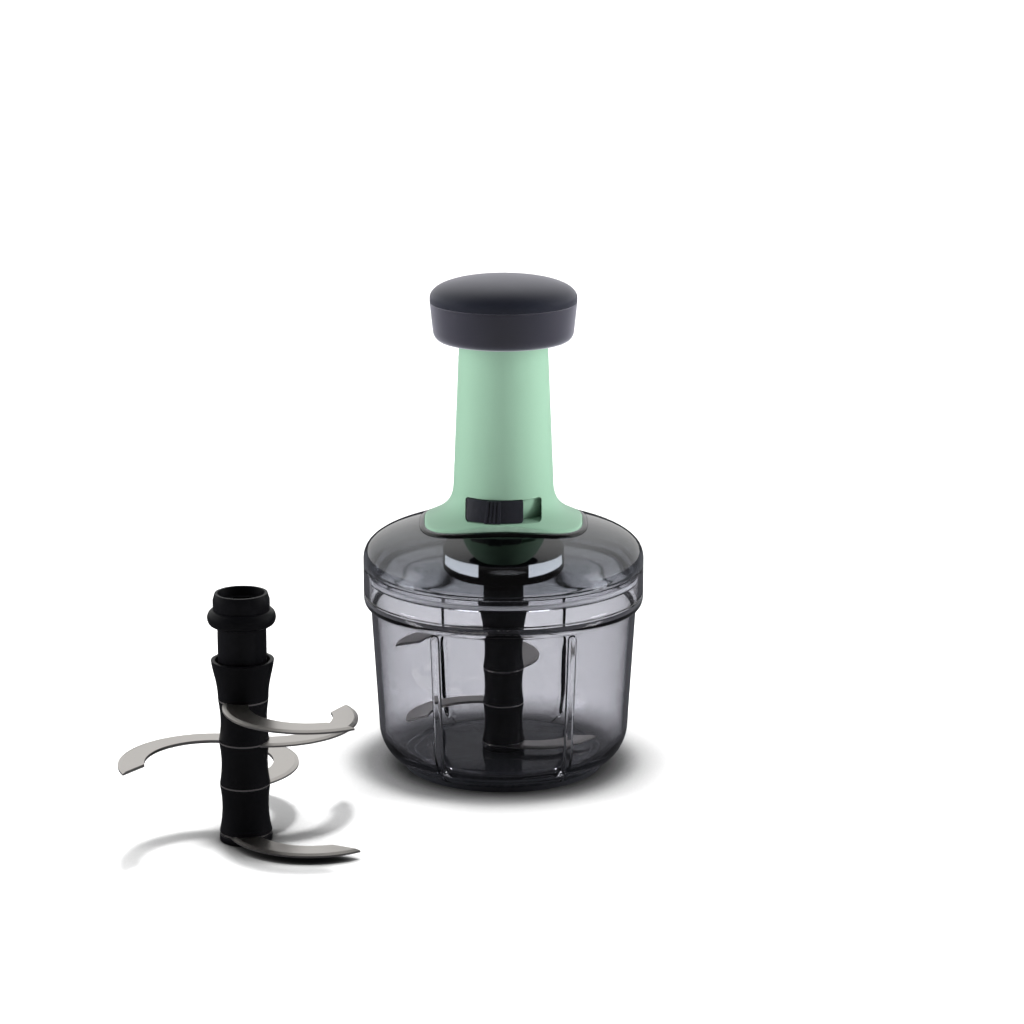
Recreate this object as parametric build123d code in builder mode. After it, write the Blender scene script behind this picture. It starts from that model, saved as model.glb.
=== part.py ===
from build123d import *
import os
from math import acos, asin, atan, atan2, cos, degrees, radians, sin, tan

# Plunger food chopper: a clear bowl with a stack of blades on a centre pin, and a lid that
# carries a tower. Pushing the knob down drives a nut along a twisted shaft, which spins the
# blades. A lock slider on the tower's foot holds the knob down. A second blade unit stands
# beside the bowl.
#
# Frame: the origin is on the chopper's axis, at the underside of its base. +Z is up, -Y is the
# front, where the lock slider is, and +X is to the right. All sizes are in millimetres and
# degrees. Angles are measured about Z from +X, so the front is at FRONT.
FRONT = -90.0

# ---- Clearances ----
running_gap = 0.06      # radial gap of a shaft in its bearing
cut_margin = 1.0        # how far a cutter reaches past the face that it cuts
moving_gap = 0.3        # gap between faces that move past each other
seat_gap = 0.1          # gap between a piece and the face that it rests on

# ---- Bowl ----
base_radius = 46.5
base_height = 4.0
base_edge_radius = 1.0
bowl_wall = 2.5
bowl_foot_radius = 58.3         # outer radius where the rounded bottom begins
bowl_shoulder_radius = 61.7     # outer radius under the collar
bowl_corner_radius = 19.4
bowl_hollow_radius = 13.5        # rounded corner inside the bowl
bowl_foot_z = 0.6               # underside of the ring that surrounds the base
bowl_wall_height = 76.4           # from the bowl's underside to its shoulder
collar_step = 3.3               # how far the collar stands out from the bowl's shoulder
collar_foot_height = 5.0        # height of the collar's rounded foot
collar_height = 13.5
collar_line_rise = 1.4          # fine line around the collar, above its foot
collar_line_depth = 0.35
rib_angles = (-121.0, -59.0, 59.0, 121.0)
rib_radius = 2.4
rib_rise = 1.5                  # how far a rib stands into the bowl
groove_radius = 1.7
groove_depth = 1.0
rib_corner_angle = 60.0         # how far a rib follows the rounded corner
rib_top_drop = 3.0              # from the collar's foot to the rib's top
pin_radius = 2.5
pin_height = 16.0
pin_foot_radius = 4.0
pin_foot_height = 0.7
pin_chamfer = 0.6

# ---- Lid ----
lid_wall = 2.5
lid_rim_height = 3.5
lid_dome_height = 19.4
lid_crown_radius = 28.0
lid_shoulder_rise = 10.0        # upright handle of the dome's curve at the rim
lid_crown_reach = 26.0          # level handle of the dome's curve at the crown
lid_crown_slope = 0.22
lid_skirt_depth = 8.0
lid_skirt_wall = 2.6
lid_skirt_gap = 0.6             # gap between the lid's skirt and the collar
lid_lip_height = 1.0
lid_lip_width = 2.3
gasket_radius = 1.1
gasket_reach = 0.4              # how far the gasket stands out of its groove
hub_rise = 2.0                  # lid hub above the crown
hub_radius = 12.0
bearing_radius = 9.0
bearing_length = 7.0

# ---- Drive cover under the lid ----
cover_radius = 28.0
cover_head_radius = 27.0
cover_wall = 2.0
cover_depth = 21.5
cover_floor_height = 1.6
cover_mouth_gap = 1.4           # gap around the blade unit's flange
window_angles = (-142.0, -38.0, 38.0, 142.0)
window_width = 56.0             # degrees
window_sill = 2.0
window_height = 4.6
pane_inset = 0.5                # pane's face behind the cover's foot
pane_lean = 0.2                 # how far the pane leans in at its top
pane_wall = 1.2
pane_end_gap = 0.2              # degrees between a pane and each end of its window

# ---- Tower ----
tower_height = 85.5
tower_top_radius = 20.15
tower_waist_radius = 23.1
tower_waist_height = 15.5
tower_bore_top = 17.5
tower_bore_foot = 18.6
tower_edge_radius = 0.8
skirt_half_x = 36.3
skirt_half_y = 30.2
skirt_power = 3.2               # squareness of the tower foot's outline
skirt_outline_points = 28
flare_neck = (0.6, 5.5)         # handle below the waist: outward from it, above the crown
flare_foot = (6.4, 3.1)         # handle above the foot: outward from the waist, above the crown
flare_end = (18.9, -2.5)        # end of the flare: outward from the waist, above the crown
bush_length = 14.0
bush_flange_height = 1.2
tower_screw_circle = 22.0
tower_screw_angles = (90.0, 210.0, 330.0)
tower_screw_radius = 1.5
tower_screw_length = 10.0
screw_head_radius = 2.8
screw_head_height = 1.8
screw_hole_gap = 0.05

# ---- Lock slider in the tower's foot ----
slot_rise = 3.4                 # slot above the lid's crown
slot_height = 9.8
slot_half_width = 17.4
slot_corner_radius = 1.6
slot_floor_radius = 20.9
slider_travel = 18.0            # degrees about the tower's axis
slider_end_gap = 0.5            # gap between the slider and the left end of its slot
slider_width = 25.9
slider_head_radius = 24.4
slider_belly_radius = 25.7
slider_foot_radius = 28.7
ridge_angle = 14.4
ridge_offset = 1.2              # degrees from the slider's middle, away from its travel
ridge_rise = 1.6
ridge_grooves = 3
ridge_groove_depth = 0.7
ridge_groove_angle = 1.6
tongue_angle = 8.0
tongue_height = 4.4
retainer_angle = 20.0
retainer_wall = 1.7
retainer_height = 6.4

# ---- Knob and plunger ----
knob_stroke = 50.0
knob_radius = 33.6
knob_waist_step = 1.3           # how far the skirt's foot stands in from the knob's edge
knob_foot_radius = 27.5
knob_skirt_height = 17.6
knob_corner_height = 5.2
knob_side_lean = 0.3            # upper handle of the knob's lower corner: inwards
knob_side_handle = 2.1          # and above the knob's foot
knob_foot_round = 1.6           # lower handle: inwards along the foot
knob_cap_height = 11.6
knob_cap_edge = 2.0
cap_side_share = 0.67           # how square the cap's shoulder is: its upright handle
cap_top_share = 0.6             # and its level handle, each as a share of its side
knob_boss_top = 5.2             # the screw bosses' tops, above the cap's edge
tube_socket_lift = 4.8          # the tube's socket, above the tower's top
knob_wall = 2.4
knob_overlap = 2.7              # how far the knob reaches down over the tower
knob_mouth_gap = 0.9            # gap between the knob's mouth and the tower
knob_floor_height = 2.6
knob_screw_circle = 24.4
knob_screw_angles = (30.0, 150.0, 270.0)
knob_screw_length = 9.0
knob_boss_wall = 1.4
tube_radius = 14.8
tube_wall = 2.2
tube_chamfer = 0.55
tube_socket_wall = 2.2
tube_head_drop = 5.5            # from the knob's ceiling to the tube's top
nut_height = 10.0

# ---- Drive ----
shaft_side = 8.0                # side of the twisted square bar
shaft_corner_radius = 1.0
shaft_lead = 40.0               # rise for one full turn
shaft_spare = 6.0               # shaft left above the nut when the knob is up
journal_radius = 4.0
journal_end = 7.5               # journal below the circlip
shoulder_radius = 6.5
shoulder_height = 1.4
nut_gap = 0.3                   # gap around the shaft in the nut
circlip_radius = 6.8
circlip_height = 1.0
shaft_cap_radius = 10.8
shaft_cap_height = 2.4
ratchet_spring_height = 1.9
ratchet_spring_radius = 5.6
ratchet_spring_wire = 0.5
ratchet_spring_turns = 1.5
clutch_radius = 11.5
clutch_disc_height = 1.8
clutch_tooth_height = 1.2
clutch_tooth_depth = 3.0
clutch_teeth = 8
clutch_tooth_share = 0.4        # how much of each step a tooth takes
coupling_side = 4.9             # half the distance across the drive plug's flats
coupling_depth = 7.0
socket_gap = 0.3                # gap between the drive plug and its socket
coupling_screw_radius = 1.4
coupling_screw_length = 7.0
screw_tip_gap = 1.0             # room under the tip of the coupling screw
coupling_head_radius = 2.6
coupling_head_height = 1.5
return_spring_radius = 8.4
return_spring_wire = 0.75
return_spring_turns = 9.0
coil_end_gap = 0.5              # room for the slant of the coil's last turn

# ---- Blade unit ----
hub_lift = 0.3                  # hub foot above the bowl's floor
hub_ring_radius = 9.2           # outer radius of the hub at each blade
hub_waist_radius = 8.5
hub_foot_radius = 10.0
hub_foot_height = 2.8
hub_foot_edge = 0.56
spacer_heights = (17.6, 15.8, 15.3)     # from the lowest blade up
sleeve_height = 14.9
sleeve_mouth_radius = 11.9
sleeve_mouth_wall = 1.5
sleeve_mouth_depth = 5.0
sleeve_foot_handle = 6.7        # how far the sleeve stays slim, above its foot
sleeve_flare = (0.4, 4.5)       # handle of the flare: inwards and down from the mouth
neck_radius = 9.2
flange_radius = 12.9
flange_height = 6.0
flange_edge_radius = 2.0
socket_height = 8.0
socket_mouth_radius = 8.7
socket_wall_radius = 10.6
core_radius = 6.2
core_flat = 5.2                 # distance from the axis to the core's flats
core_bore_gap = 0.05
bush_wall = 1.6
bush_height = 14.0
blade_thickness = 1.2
blade_ring_radius = 9.45
blade_reach = 53.0
low_blade_reach = 44.0
blade_width = 9.8
blade_curve_radius = 33.0
blade_lag = 98.0                # degrees from the tip back to where the arm leaves the ring
blade_tip_cut = 6.0             # how much shorter the arm's hollow edge is
blade_bevel_width = 1.6
blade_bevel_depth = 0.5
bowl_blade_tips = ((7.0,), (214.0,), (97.0,), (202.0,))          # from the lowest blade up
spare_blade_tips = ((-27.0,), (100.0,), (224.0, 50.0), (-40.0,))
spare_blade_reach = 57.0        # before the spare unit's scale
spare_low_blade_reach = 50.0
spare_scale = 1.15              # the spare unit is the same design, a size larger
spare_x = -112.5
spare_y = -107.0

# ---- Levels worked out from the sizes above ----
collar_radius = bowl_shoulder_radius + collar_step
lid_radius = collar_radius
floor_z = base_height + bowl_wall
corner_z = bowl_foot_z + bowl_corner_radius
shoulder_z = bowl_foot_z + bowl_wall_height
collar_z = shoulder_z + collar_foot_height
collar_top_z = collar_z + collar_height
lid_seat_z = collar_top_z + seat_gap
lid_rim_z = lid_seat_z + lid_rim_height
crown_z = lid_rim_z + lid_dome_height
lid_plate_z = crown_z - lid_wall
hub_top_z = crown_z + hub_rise
bearing_z = hub_top_z - bearing_length
circlip_z = bearing_z - seat_gap - circlip_height
driver_z = circlip_z - ratchet_spring_height - clutch_disc_height
clutch_z = driver_z - clutch_tooth_height
socket_top_z = clutch_z - clutch_disc_height - moving_gap
tower_top_z = crown_z + tower_height
waist_z = crown_z + tower_waist_height
slot_z = crown_z + slot_rise
knob_z = tower_top_z - knob_overlap
seam_z = knob_z + knob_skirt_height
ceiling_z = seam_z + knob_cap_height - knob_wall
shaft_seat_z = hub_top_z + seat_gap
twist_z = shaft_seat_z + shoulder_height
nut_z = twist_z + moving_gap
shaft_top_z = nut_z + nut_height + knob_stroke + shaft_spare
tube_top_z = ceiling_z - tube_head_drop
hub_z = floor_z + hub_lift
collar_bore = collar_radius - bowl_wall
knob_waist_radius = knob_radius - knob_waist_step
plug_corner = coupling_side / cos(radians(30.0))


def polar(radius, angle):
    """Point in plan at this radius and angle."""
    return (radius * cos(radians(angle)), radius * sin(radians(angle)))


def save(part, name):
    """Label one finished piece and write it to its own file."""
    part.label = name
    export_step(part, f"parts/{name}.step")


def skirt_outline(margin):
    """Closed curve of the tower foot's outline, grown by a margin."""
    points = []
    for index in range(skirt_outline_points):
        angle = radians(360.0 * (index + 0.5) / skirt_outline_points)
        c, s = cos(angle), sin(angle)
        x = (skirt_half_x + margin) * abs(c) ** (2.0 / skirt_power)
        y = (skirt_half_y + margin) * abs(s) ** (2.0 / skirt_power)
        points.append((x if c > 0 else -x, y if s > 0 else -y))
    return Spline(*points, periodic=True)


def dome_curve(inset, lift):
    """Curve of the dome from its rim to its crown, moved inwards and up."""
    start = (lid_radius - inset, lid_rim_z + lift)
    end = (lid_crown_radius, crown_z + lift)
    return Bezier(
        start,
        (start[0], start[1] + lid_shoulder_rise),
        (end[0] + lid_crown_reach, end[1] - lid_crown_slope * lid_crown_reach),
        end,
    )


def sector(profile_points, start_angle, width):
    """Solid swept by a closed profile in (radius, height) about the axis, from one angle on."""
    with BuildPart(mode=Mode.PRIVATE) as swept:
        with BuildSketch(Plane.XZ):
            with BuildLine():
                Polyline(*profile_points, close=True)
            make_face()
        revolve(axis=Axis.Z, revolution_arc=width)
    return swept.part.rotate(Axis.Z, start_angle)


os.makedirs("parts", exist_ok=True)

# ---- Non-slip base: a flat ring of rubber under the bowl's floor ----
with BuildPart() as non_slip_base:
    with BuildSketch():
        Circle(base_radius)
    extrude(amount=base_height)
    fillet(non_slip_base.edges().filter_by(GeomType.CIRCLE), base_edge_radius)
save(non_slip_base.part, "non_slip_base")

# ---- Bowl: one clear moulding, with a collar and four ribs pressed into its wall ----
wall_slope = atan((bowl_shoulder_radius - bowl_foot_radius) / (shoulder_z - corner_z))
slope_normal = Vector(cos(wall_slope), 0, -sin(wall_slope))


def corner_centre(inset, floor, radius):
    """Centre of the rounded corner between a floor and one face of the wall."""
    level = floor + radius
    face = bowl_foot_radius - inset + (level - corner_z) * tan(wall_slope)
    return Vector(face - radius / cos(wall_slope), 0, level)


def corner_arc(inset, floor, radius):
    """The corner's arc in the profile's plane, from the floor up to the wall."""
    centre = corner_centre(inset, floor, radius)
    return CenterArc((centre.X, centre.Z), radius, -90, 90 - degrees(wall_slope))


collar_line_z = collar_z + collar_line_rise
with BuildPart() as bowl_body:
    with BuildSketch(Plane.XZ):
        with BuildLine():
            outer_corner = corner_arc(0, bowl_foot_z, bowl_corner_radius)
            inner_corner = corner_arc(bowl_wall, floor_z, bowl_hollow_radius)
            Polyline(outer_corner @ 0, (0, bowl_foot_z), (0, floor_z), inner_corner @ 0)
            Line(outer_corner @ 1, (bowl_shoulder_radius, shoulder_z))
            Bezier(
                (bowl_shoulder_radius, shoulder_z),
                (collar_radius, shoulder_z),
                (collar_radius, collar_z),
            )
            Polyline(
                (collar_radius, collar_z),
                (collar_radius, collar_line_z - collar_line_depth),
                (collar_radius - collar_line_depth, collar_line_z),
                (collar_radius, collar_line_z + collar_line_depth),
                (collar_radius, collar_top_z),
                (collar_bore, collar_top_z),
                (collar_bore, collar_z),
                (bowl_shoulder_radius - bowl_wall, shoulder_z),
                inner_corner @ 1,
            )
        make_face()
    revolve(axis=Axis.Z)
    with BuildSketch(Plane.XY.offset(bowl_foot_z)):
        Circle(base_radius + seat_gap)
    extrude(amount=base_height - bowl_foot_z, mode=Mode.SUBTRACT)


def rib_course(inset, floor, corner_radius, outward, radius):
    """Round bar down one face of the wall and round its corner, its centre moved outwards."""
    centre = corner_centre(inset, floor, corner_radius)
    bottom = centre + slope_normal * (corner_radius + outward)
    drop = shoulder_z - rib_top_drop - bottom.Z
    top = bottom + Vector(drop * tan(wall_slope), 0, drop)
    corner_axis = Axis(centre, (0, 1, 0))
    with BuildPart() as bar:
        with BuildSketch(Plane(origin=top, z_dir=bottom - top)):
            Circle(radius)
        extrude(amount=(bottom - top).length)
        with Locations(top):
            Sphere(radius)
        with BuildSketch(Plane(origin=bottom, z_dir=bottom - top)):
            Circle(radius)
        revolve(axis=corner_axis, revolution_arc=rib_corner_angle)
    return bar.part


with BuildPart() as bowl_envelope:
    with BuildSketch(Plane.XZ):
        with BuildLine():
            envelope_corner = corner_arc(0, bowl_foot_z, bowl_corner_radius)
            Polyline(
                envelope_corner @ 1,
                (bowl_shoulder_radius, shoulder_z),
                (0, shoulder_z),
                (0, bowl_foot_z),
                envelope_corner @ 0,
            )
        make_face()
    revolve(axis=Axis.Z)

with BuildPart() as rib_bar:
    add(rib_course(bowl_wall, floor_z, bowl_hollow_radius, rib_radius - rib_rise, rib_radius))
    add(bowl_envelope.part, mode=Mode.INTERSECT)
groove_bar = rib_course(
    0, bowl_foot_z, bowl_corner_radius, groove_radius - groove_depth, groove_radius
)

with BuildPart() as bowl:
    add(bowl_body.part)
    for angle in rib_angles:
        add(rib_bar.part.rotate(Axis.Z, angle))
    for angle in rib_angles:
        add(groove_bar.rotate(Axis.Z, angle), mode=Mode.SUBTRACT)
save(bowl.part, "bowl")

# ---- Centre pin: a steel pin on a stepped foot, on which the blade unit turns ----
with BuildPart() as centre_pin:
    with BuildSketch(Plane.XY.offset(floor_z)):
        Circle(pin_foot_radius)
    extrude(amount=pin_foot_height)
    with BuildSketch(Plane.XY.offset(floor_z)):
        Circle(pin_radius)
    extrude(amount=pin_height)
    chamfer(centre_pin.edges().sort_by(Axis.Z)[-1], pin_chamfer)
save(centre_pin.part, "centre_pin")

# ---- Lid: a clear dome with a rim, a skirt that enters the collar and a hub for the shaft ----
lid_skirt_radius = collar_bore - lid_skirt_gap
gasket_z = lid_seat_z - lid_skirt_depth / 2
gasket_ring_radius = lid_skirt_radius + gasket_reach - gasket_radius
with BuildPart() as lid_shell:
    with BuildSketch(Plane.XZ):
        with BuildLine():
            dome_curve(0, 0)
            dome_curve(lid_wall, -lid_wall)
            Polyline(
                (lid_radius, lid_rim_z),
                (lid_radius, lid_seat_z),
                (lid_skirt_radius, lid_seat_z),
                (lid_skirt_radius, lid_seat_z - lid_skirt_depth),
                (lid_skirt_radius - lid_skirt_wall, lid_seat_z - lid_skirt_depth),
                (lid_skirt_radius - lid_skirt_wall, lid_rim_z - lid_wall),
                (lid_radius - lid_wall, lid_rim_z - lid_wall),
            )
            Polyline(
                (lid_crown_radius, crown_z),
                (hub_radius, crown_z),
                (hub_radius, hub_top_z),
                (bearing_radius, hub_top_z),
                (bearing_radius, bearing_z),
                (hub_radius, bearing_z),
                (hub_radius, lid_plate_z),
                (lid_crown_radius, lid_plate_z),
            )
        make_face()
    revolve(axis=Axis.Z)
    with BuildSketch(Plane.XZ):
        with Locations((gasket_ring_radius, gasket_z)):
            Circle(gasket_radius)
    revolve(axis=Axis.Z, mode=Mode.SUBTRACT)
    with BuildSketch(Plane.XY.offset(lid_plate_z)):
        for angle in tower_screw_angles:
            with Locations(polar(tower_screw_circle, angle)):
                Circle(tower_screw_radius + screw_hole_gap)
    extrude(amount=lid_wall, mode=Mode.SUBTRACT)

# The raised lip follows the tower foot's outline over the dome.
with BuildPart() as lid_lip:
    with BuildSketch(Plane.XZ):
        with BuildLine():
            dome_curve(0, 0)
            dome_curve(0, lid_lip_height)
            Line((lid_radius, lid_rim_z), (lid_radius, lid_rim_z + lid_lip_height))
            Polyline(
                (lid_crown_radius, crown_z + lid_lip_height),
                (tower_waist_radius, crown_z + lid_lip_height),
                (tower_waist_radius, crown_z),
                (lid_crown_radius, crown_z),
            )
        make_face()
    revolve(axis=Axis.Z)
    with BuildSketch(Plane.XY.offset(lid_seat_z)):
        with BuildLine():
            skirt_outline(moving_gap + lid_lip_width)
        make_face()
        with BuildLine():
            skirt_outline(moving_gap)
        make_face(mode=Mode.SUBTRACT)
    extrude(amount=tower_height, mode=Mode.INTERSECT)

with BuildPart() as lid:
    add(lid_shell.part)
    add(lid_lip.part)
save(lid.part, "lid")

# ---- Lid gasket: a silicone ring in the skirt's groove ----
with BuildPart() as lid_gasket:
    with BuildSketch(Plane.XZ):
        with Locations((gasket_ring_radius, gasket_z)):
            Circle(gasket_radius - seat_gap / 2)
    revolve(axis=Axis.Z)
save(lid_gasket.part, "lid_gasket")

# ---- Shaft bearing: a bush in the lid's hub ----
with BuildPart() as shaft_bearing:
    with BuildSketch(Plane.XY.offset(bearing_z)):
        Circle(bearing_radius - seat_gap / 2)
        Circle(journal_radius + running_gap, mode=Mode.SUBTRACT)
    extrude(amount=bearing_length)
save(shaft_bearing.part, "shaft_bearing")

# ---- Drive cover: a cup under the lid, with four windows around its foot ----
cover_top_z = lid_plate_z - seat_gap
cover_z = cover_top_z - cover_depth
cover_mouth_radius = flange_radius + cover_mouth_gap
window_top_z = cover_z + window_sill + window_height
with BuildPart() as drive_cover:
    with BuildSketch(Plane.XZ):
        with BuildLine():
            Polyline(
                (cover_mouth_radius, cover_z),
                (cover_radius, cover_z),
                (cover_head_radius, cover_top_z),
                (cover_head_radius - cover_wall, cover_top_z),
                (cover_radius - cover_wall, cover_z + cover_floor_height),
                (cover_mouth_radius, cover_z + cover_floor_height),
                close=True,
            )
        make_face()
    revolve(axis=Axis.Z)
    for angle in window_angles:
        add(
            sector(
                (
                    (cover_radius - cover_wall - cut_margin, cover_z + window_sill),
                    (cover_radius + cut_margin, cover_z + window_sill),
                    (cover_radius + cut_margin, window_top_z),
                    (cover_radius - cover_wall - cut_margin, window_top_z),
                ),
                angle - window_width / 2,
                window_width,
            ),
            mode=Mode.SUBTRACT,
        )
save(drive_cover.part, "drive_cover")

# ---- Cover windows: clear panes that fill the cover's windows ----
with BuildPart() as cover_windows:
    pane_low = cover_z + window_sill + seat_gap / 2
    pane_high = pane_low + window_height - seat_gap
    pane_radius = cover_radius - pane_inset
    for angle in window_angles:
        add(
            sector(
                (
                    (pane_radius - pane_wall, pane_low),
                    (pane_radius, pane_low),
                    (pane_radius - pane_lean, pane_high),
                    (pane_radius - pane_lean - pane_wall, pane_high),
                ),
                angle - window_width / 2 + pane_end_gap,
                window_width - 2 * pane_end_gap,
            )
        )
save(cover_windows.part, "cover_windows")

# ---- Tower housing: a tapered tube that flares into a squarish foot on the dome ----
with BuildPart() as tower_form:
    with BuildSketch(Plane.XZ):
        with BuildLine():
            flare_low = (tower_waist_radius + flare_end[0], crown_z + flare_end[1])
            Bezier(
                (tower_waist_radius, waist_z),
                (tower_waist_radius + flare_neck[0], crown_z + flare_neck[1]),
                (tower_waist_radius + flare_foot[0], crown_z + flare_foot[1]),
                flare_low,
            )
            Polyline(
                flare_low,
                (flare_low[0], lid_rim_z),
                (0, lid_rim_z),
                (0, tower_top_z),
                (tower_top_radius - tower_edge_radius, tower_top_z),
                (tower_top_radius, tower_top_z - tower_edge_radius),
                (tower_waist_radius, waist_z),
            )
        make_face()
    revolve(axis=Axis.Z)
    with BuildSketch(Plane.XY.offset(lid_rim_z)):
        with BuildLine():
            skirt_outline(0)
        make_face()
    extrude(amount=tower_top_z - lid_rim_z, mode=Mode.INTERSECT)

# Everything below the tower: the dome, a little above its face.
with BuildPart() as dome_clearance:
    with BuildSketch(Plane.XZ):
        with BuildLine():
            dome_curve(0, seat_gap)
            Polyline(
                (lid_crown_radius, crown_z + seat_gap),
                (0, crown_z + seat_gap),
                (0, lid_seat_z - lid_wall),
                (lid_radius, lid_seat_z - lid_wall),
                (lid_radius, lid_rim_z + seat_gap),
            )
        make_face()
    revolve(axis=Axis.Z)

tongue_middle_z = slot_z + slot_height / 2


def front_block(middle_x, width, height, corner):
    """Block through the tower's front wall, its outline rounded as seen from the front."""
    with BuildPart(mode=Mode.PRIVATE) as block:
        with BuildSketch(Plane.XZ.offset(-cut_margin)):
            with Locations((middle_x, tongue_middle_z)):
                RectangleRounded(width, height, corner)
        extrude(amount=skirt_half_x)
    return block.part


with BuildPart() as slot_cutter:
    add(front_block(0, 2 * slot_half_width, slot_height, slot_corner_radius))
    with BuildSketch(Plane.XY.offset(crown_z)):
        Circle(slot_floor_radius)
    extrude(amount=tower_height, mode=Mode.SUBTRACT)

# At rest the slider stands at the left end of its slot, with the knob locked down.
slider_middle_x = -slot_half_width + slider_end_gap + slider_width / 2
slider_middle = FRONT + degrees(asin(slider_middle_x / slider_belly_radius))
window_low = tongue_middle_z - tongue_height / 2 - moving_gap
window_high = tongue_middle_z + tongue_height / 2 + moving_gap
tongue_side = degrees(moving_gap / slot_floor_radius)
tongue_window = sector(
    (
        (tube_radius, window_low),
        (slot_floor_radius + cut_margin, window_low),
        (slot_floor_radius + cut_margin, window_high),
        (tube_radius, window_high),
    ),
    slider_middle - tongue_angle / 2 - 2 * tongue_side,
    tongue_angle + slider_travel + 4 * tongue_side,
)

with BuildPart() as tower_housing:
    add(tower_form.part)
    with BuildSketch(Plane.XZ):
        with BuildLine():
            Polyline(
                (0, lid_rim_z),
                (tower_bore_foot, lid_rim_z),
                (tower_bore_foot, waist_z),
                (tower_bore_top, tower_top_z - bush_length),
                (tower_bore_top, tower_top_z),
                (0, tower_top_z),
                close=True,
            )
        make_face()
    revolve(axis=Axis.Z, mode=Mode.SUBTRACT)
    add(dome_clearance.part, mode=Mode.SUBTRACT)
    add(slot_cutter.part, mode=Mode.SUBTRACT)
    add(tongue_window, mode=Mode.SUBTRACT)
    with BuildSketch(Plane.XY.offset(crown_z)):
        for angle in tower_screw_angles:
            with Locations(polar(tower_screw_circle, angle)):
                Circle(tower_screw_radius + screw_hole_gap)
    extrude(amount=tower_screw_length - lid_wall + seat_gap, mode=Mode.SUBTRACT)
save(tower_housing.part, "tower_housing")

# ---- Tower screws: from under the lid up into the tower's foot ----
with BuildPart() as tower_screws:
    with BuildSketch(Plane.XY.offset(lid_plate_z)):
        for angle in tower_screw_angles:
            with Locations(polar(tower_screw_circle, angle)):
                Circle(tower_screw_radius)
    extrude(amount=tower_screw_length)
    with BuildSketch(Plane.XY.offset(lid_plate_z)):
        for angle in tower_screw_angles:
            with Locations(polar(tower_screw_circle, angle)):
                Circle(screw_head_radius)
    extrude(amount=-screw_head_height)
save(tower_screws.part, "tower_screws")

# ---- Guide bush: guides the plunger tube at the tower's mouth ----
with BuildPart() as guide_bush:
    with BuildSketch(Plane.XY.offset(tower_top_z - bush_length)):
        Circle(tower_bore_top - seat_gap / 2)
        Circle(tube_radius + running_gap, mode=Mode.SUBTRACT)
    extrude(amount=bush_length)
    with BuildSketch(Plane.XY.offset(tower_top_z + seat_gap / 2)):
        Circle(tower_top_radius - tower_edge_radius)
        Circle(tube_radius + running_gap, mode=Mode.SUBTRACT)
    extrude(amount=bush_flange_height)
    with BuildSketch(Plane.XY.offset(tower_top_z)):
        Circle(tower_bore_top - seat_gap / 2)
        Circle(tube_radius + running_gap, mode=Mode.SUBTRACT)
    extrude(amount=seat_gap / 2)
save(guide_bush.part, "guide_bush")

# ---- Lock slider: a curved block with a grooved ridge, and a tongue through the wall ----
slider_low = slot_z + moving_gap
slider_high = slot_z + slot_height - moving_gap
slider_back = slot_floor_radius + moving_gap


def slider_profile(rise):
    """Closed profile of the slider's block, its front face moved out."""
    middle = (slider_low + slider_high) / 2
    return (
        (slider_back, slider_low),
        (slider_foot_radius + rise, slider_low),
        (slider_belly_radius + rise, middle),
        (slider_head_radius + rise, slider_high),
        (slider_back, slider_high),
    )


slider_ring_angle = 160.0       # wider than the slider, which is cut out of this ring
ridge_start = slider_middle - ridge_offset - ridge_angle / 2
with BuildPart() as lock_slider:
    add(sector(slider_profile(0), FRONT - slider_ring_angle / 2, slider_ring_angle))
    add(
        front_block(
            slider_middle_x,
            slider_width,
            slot_height - 2 * moving_gap,
            slot_corner_radius - moving_gap,
        ),
        mode=Mode.INTERSECT,
    )
    add(sector(slider_profile(ridge_rise), ridge_start, ridge_angle))
    for index in range(ridge_grooves):
        groove_angle = ridge_start + ridge_angle * (index + 1) / (ridge_grooves + 1)
        groove_low = slider_profile(ridge_rise - ridge_groove_depth)
        groove_high = slider_profile(ridge_rise + cut_margin)
        add(
            sector(
                (groove_low[1], groove_high[1], groove_high[2], groove_high[3],
                 groove_low[3], groove_low[2]),
                groove_angle - ridge_groove_angle / 2,
                ridge_groove_angle,
            ),
            mode=Mode.SUBTRACT,
        )
    retainer_outer = tower_bore_foot - moving_gap
    add(
        sector(
            (
                (retainer_outer, tongue_middle_z - tongue_height / 2),
                (slider_back, tongue_middle_z - tongue_height / 2),
                (slider_back, tongue_middle_z + tongue_height / 2),
                (retainer_outer, tongue_middle_z + tongue_height / 2),
            ),
            slider_middle - tongue_angle / 2,
            tongue_angle,
        )
    )
save(lock_slider.part, "lock_slider")

# ---- Lock retainer: a curved plate inside the tower that holds the slider in ----
with BuildPart() as lock_retainer:
    add(
        sector(
            (
                (retainer_outer - retainer_wall, tongue_middle_z - retainer_height / 2),
                (retainer_outer, tongue_middle_z - retainer_height / 2),
                (retainer_outer, tongue_middle_z + retainer_height / 2),
                (retainer_outer - retainer_wall, tongue_middle_z + retainer_height / 2),
            ),
            slider_middle - retainer_angle / 2,
            retainer_angle,
        )
    )
save(lock_retainer.part, "lock_retainer")

# ---- Knob cap: a shallow dome with a socket for the tube and bosses for the screws ----
knob_top_z = seam_z + knob_cap_height
knob_mouth_radius = tower_top_radius + knob_mouth_gap
boss_foot_z = knob_z + knob_floor_height + seat_gap
boss_radius = tower_screw_radius + knob_boss_wall
tube_socket_radius = tube_radius + seat_gap / 2


def cap_curve(inset):
    """Curve of the cap from its edge to its top, moved inwards."""
    edge = (knob_radius - inset, seam_z + knob_cap_edge)
    top = (0, knob_top_z - inset)
    return Bezier(
        edge,
        (edge[0], edge[1] + cap_side_share * (top[1] - edge[1])),
        (cap_top_share * edge[0], top[1]),
        top,
    )


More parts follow.
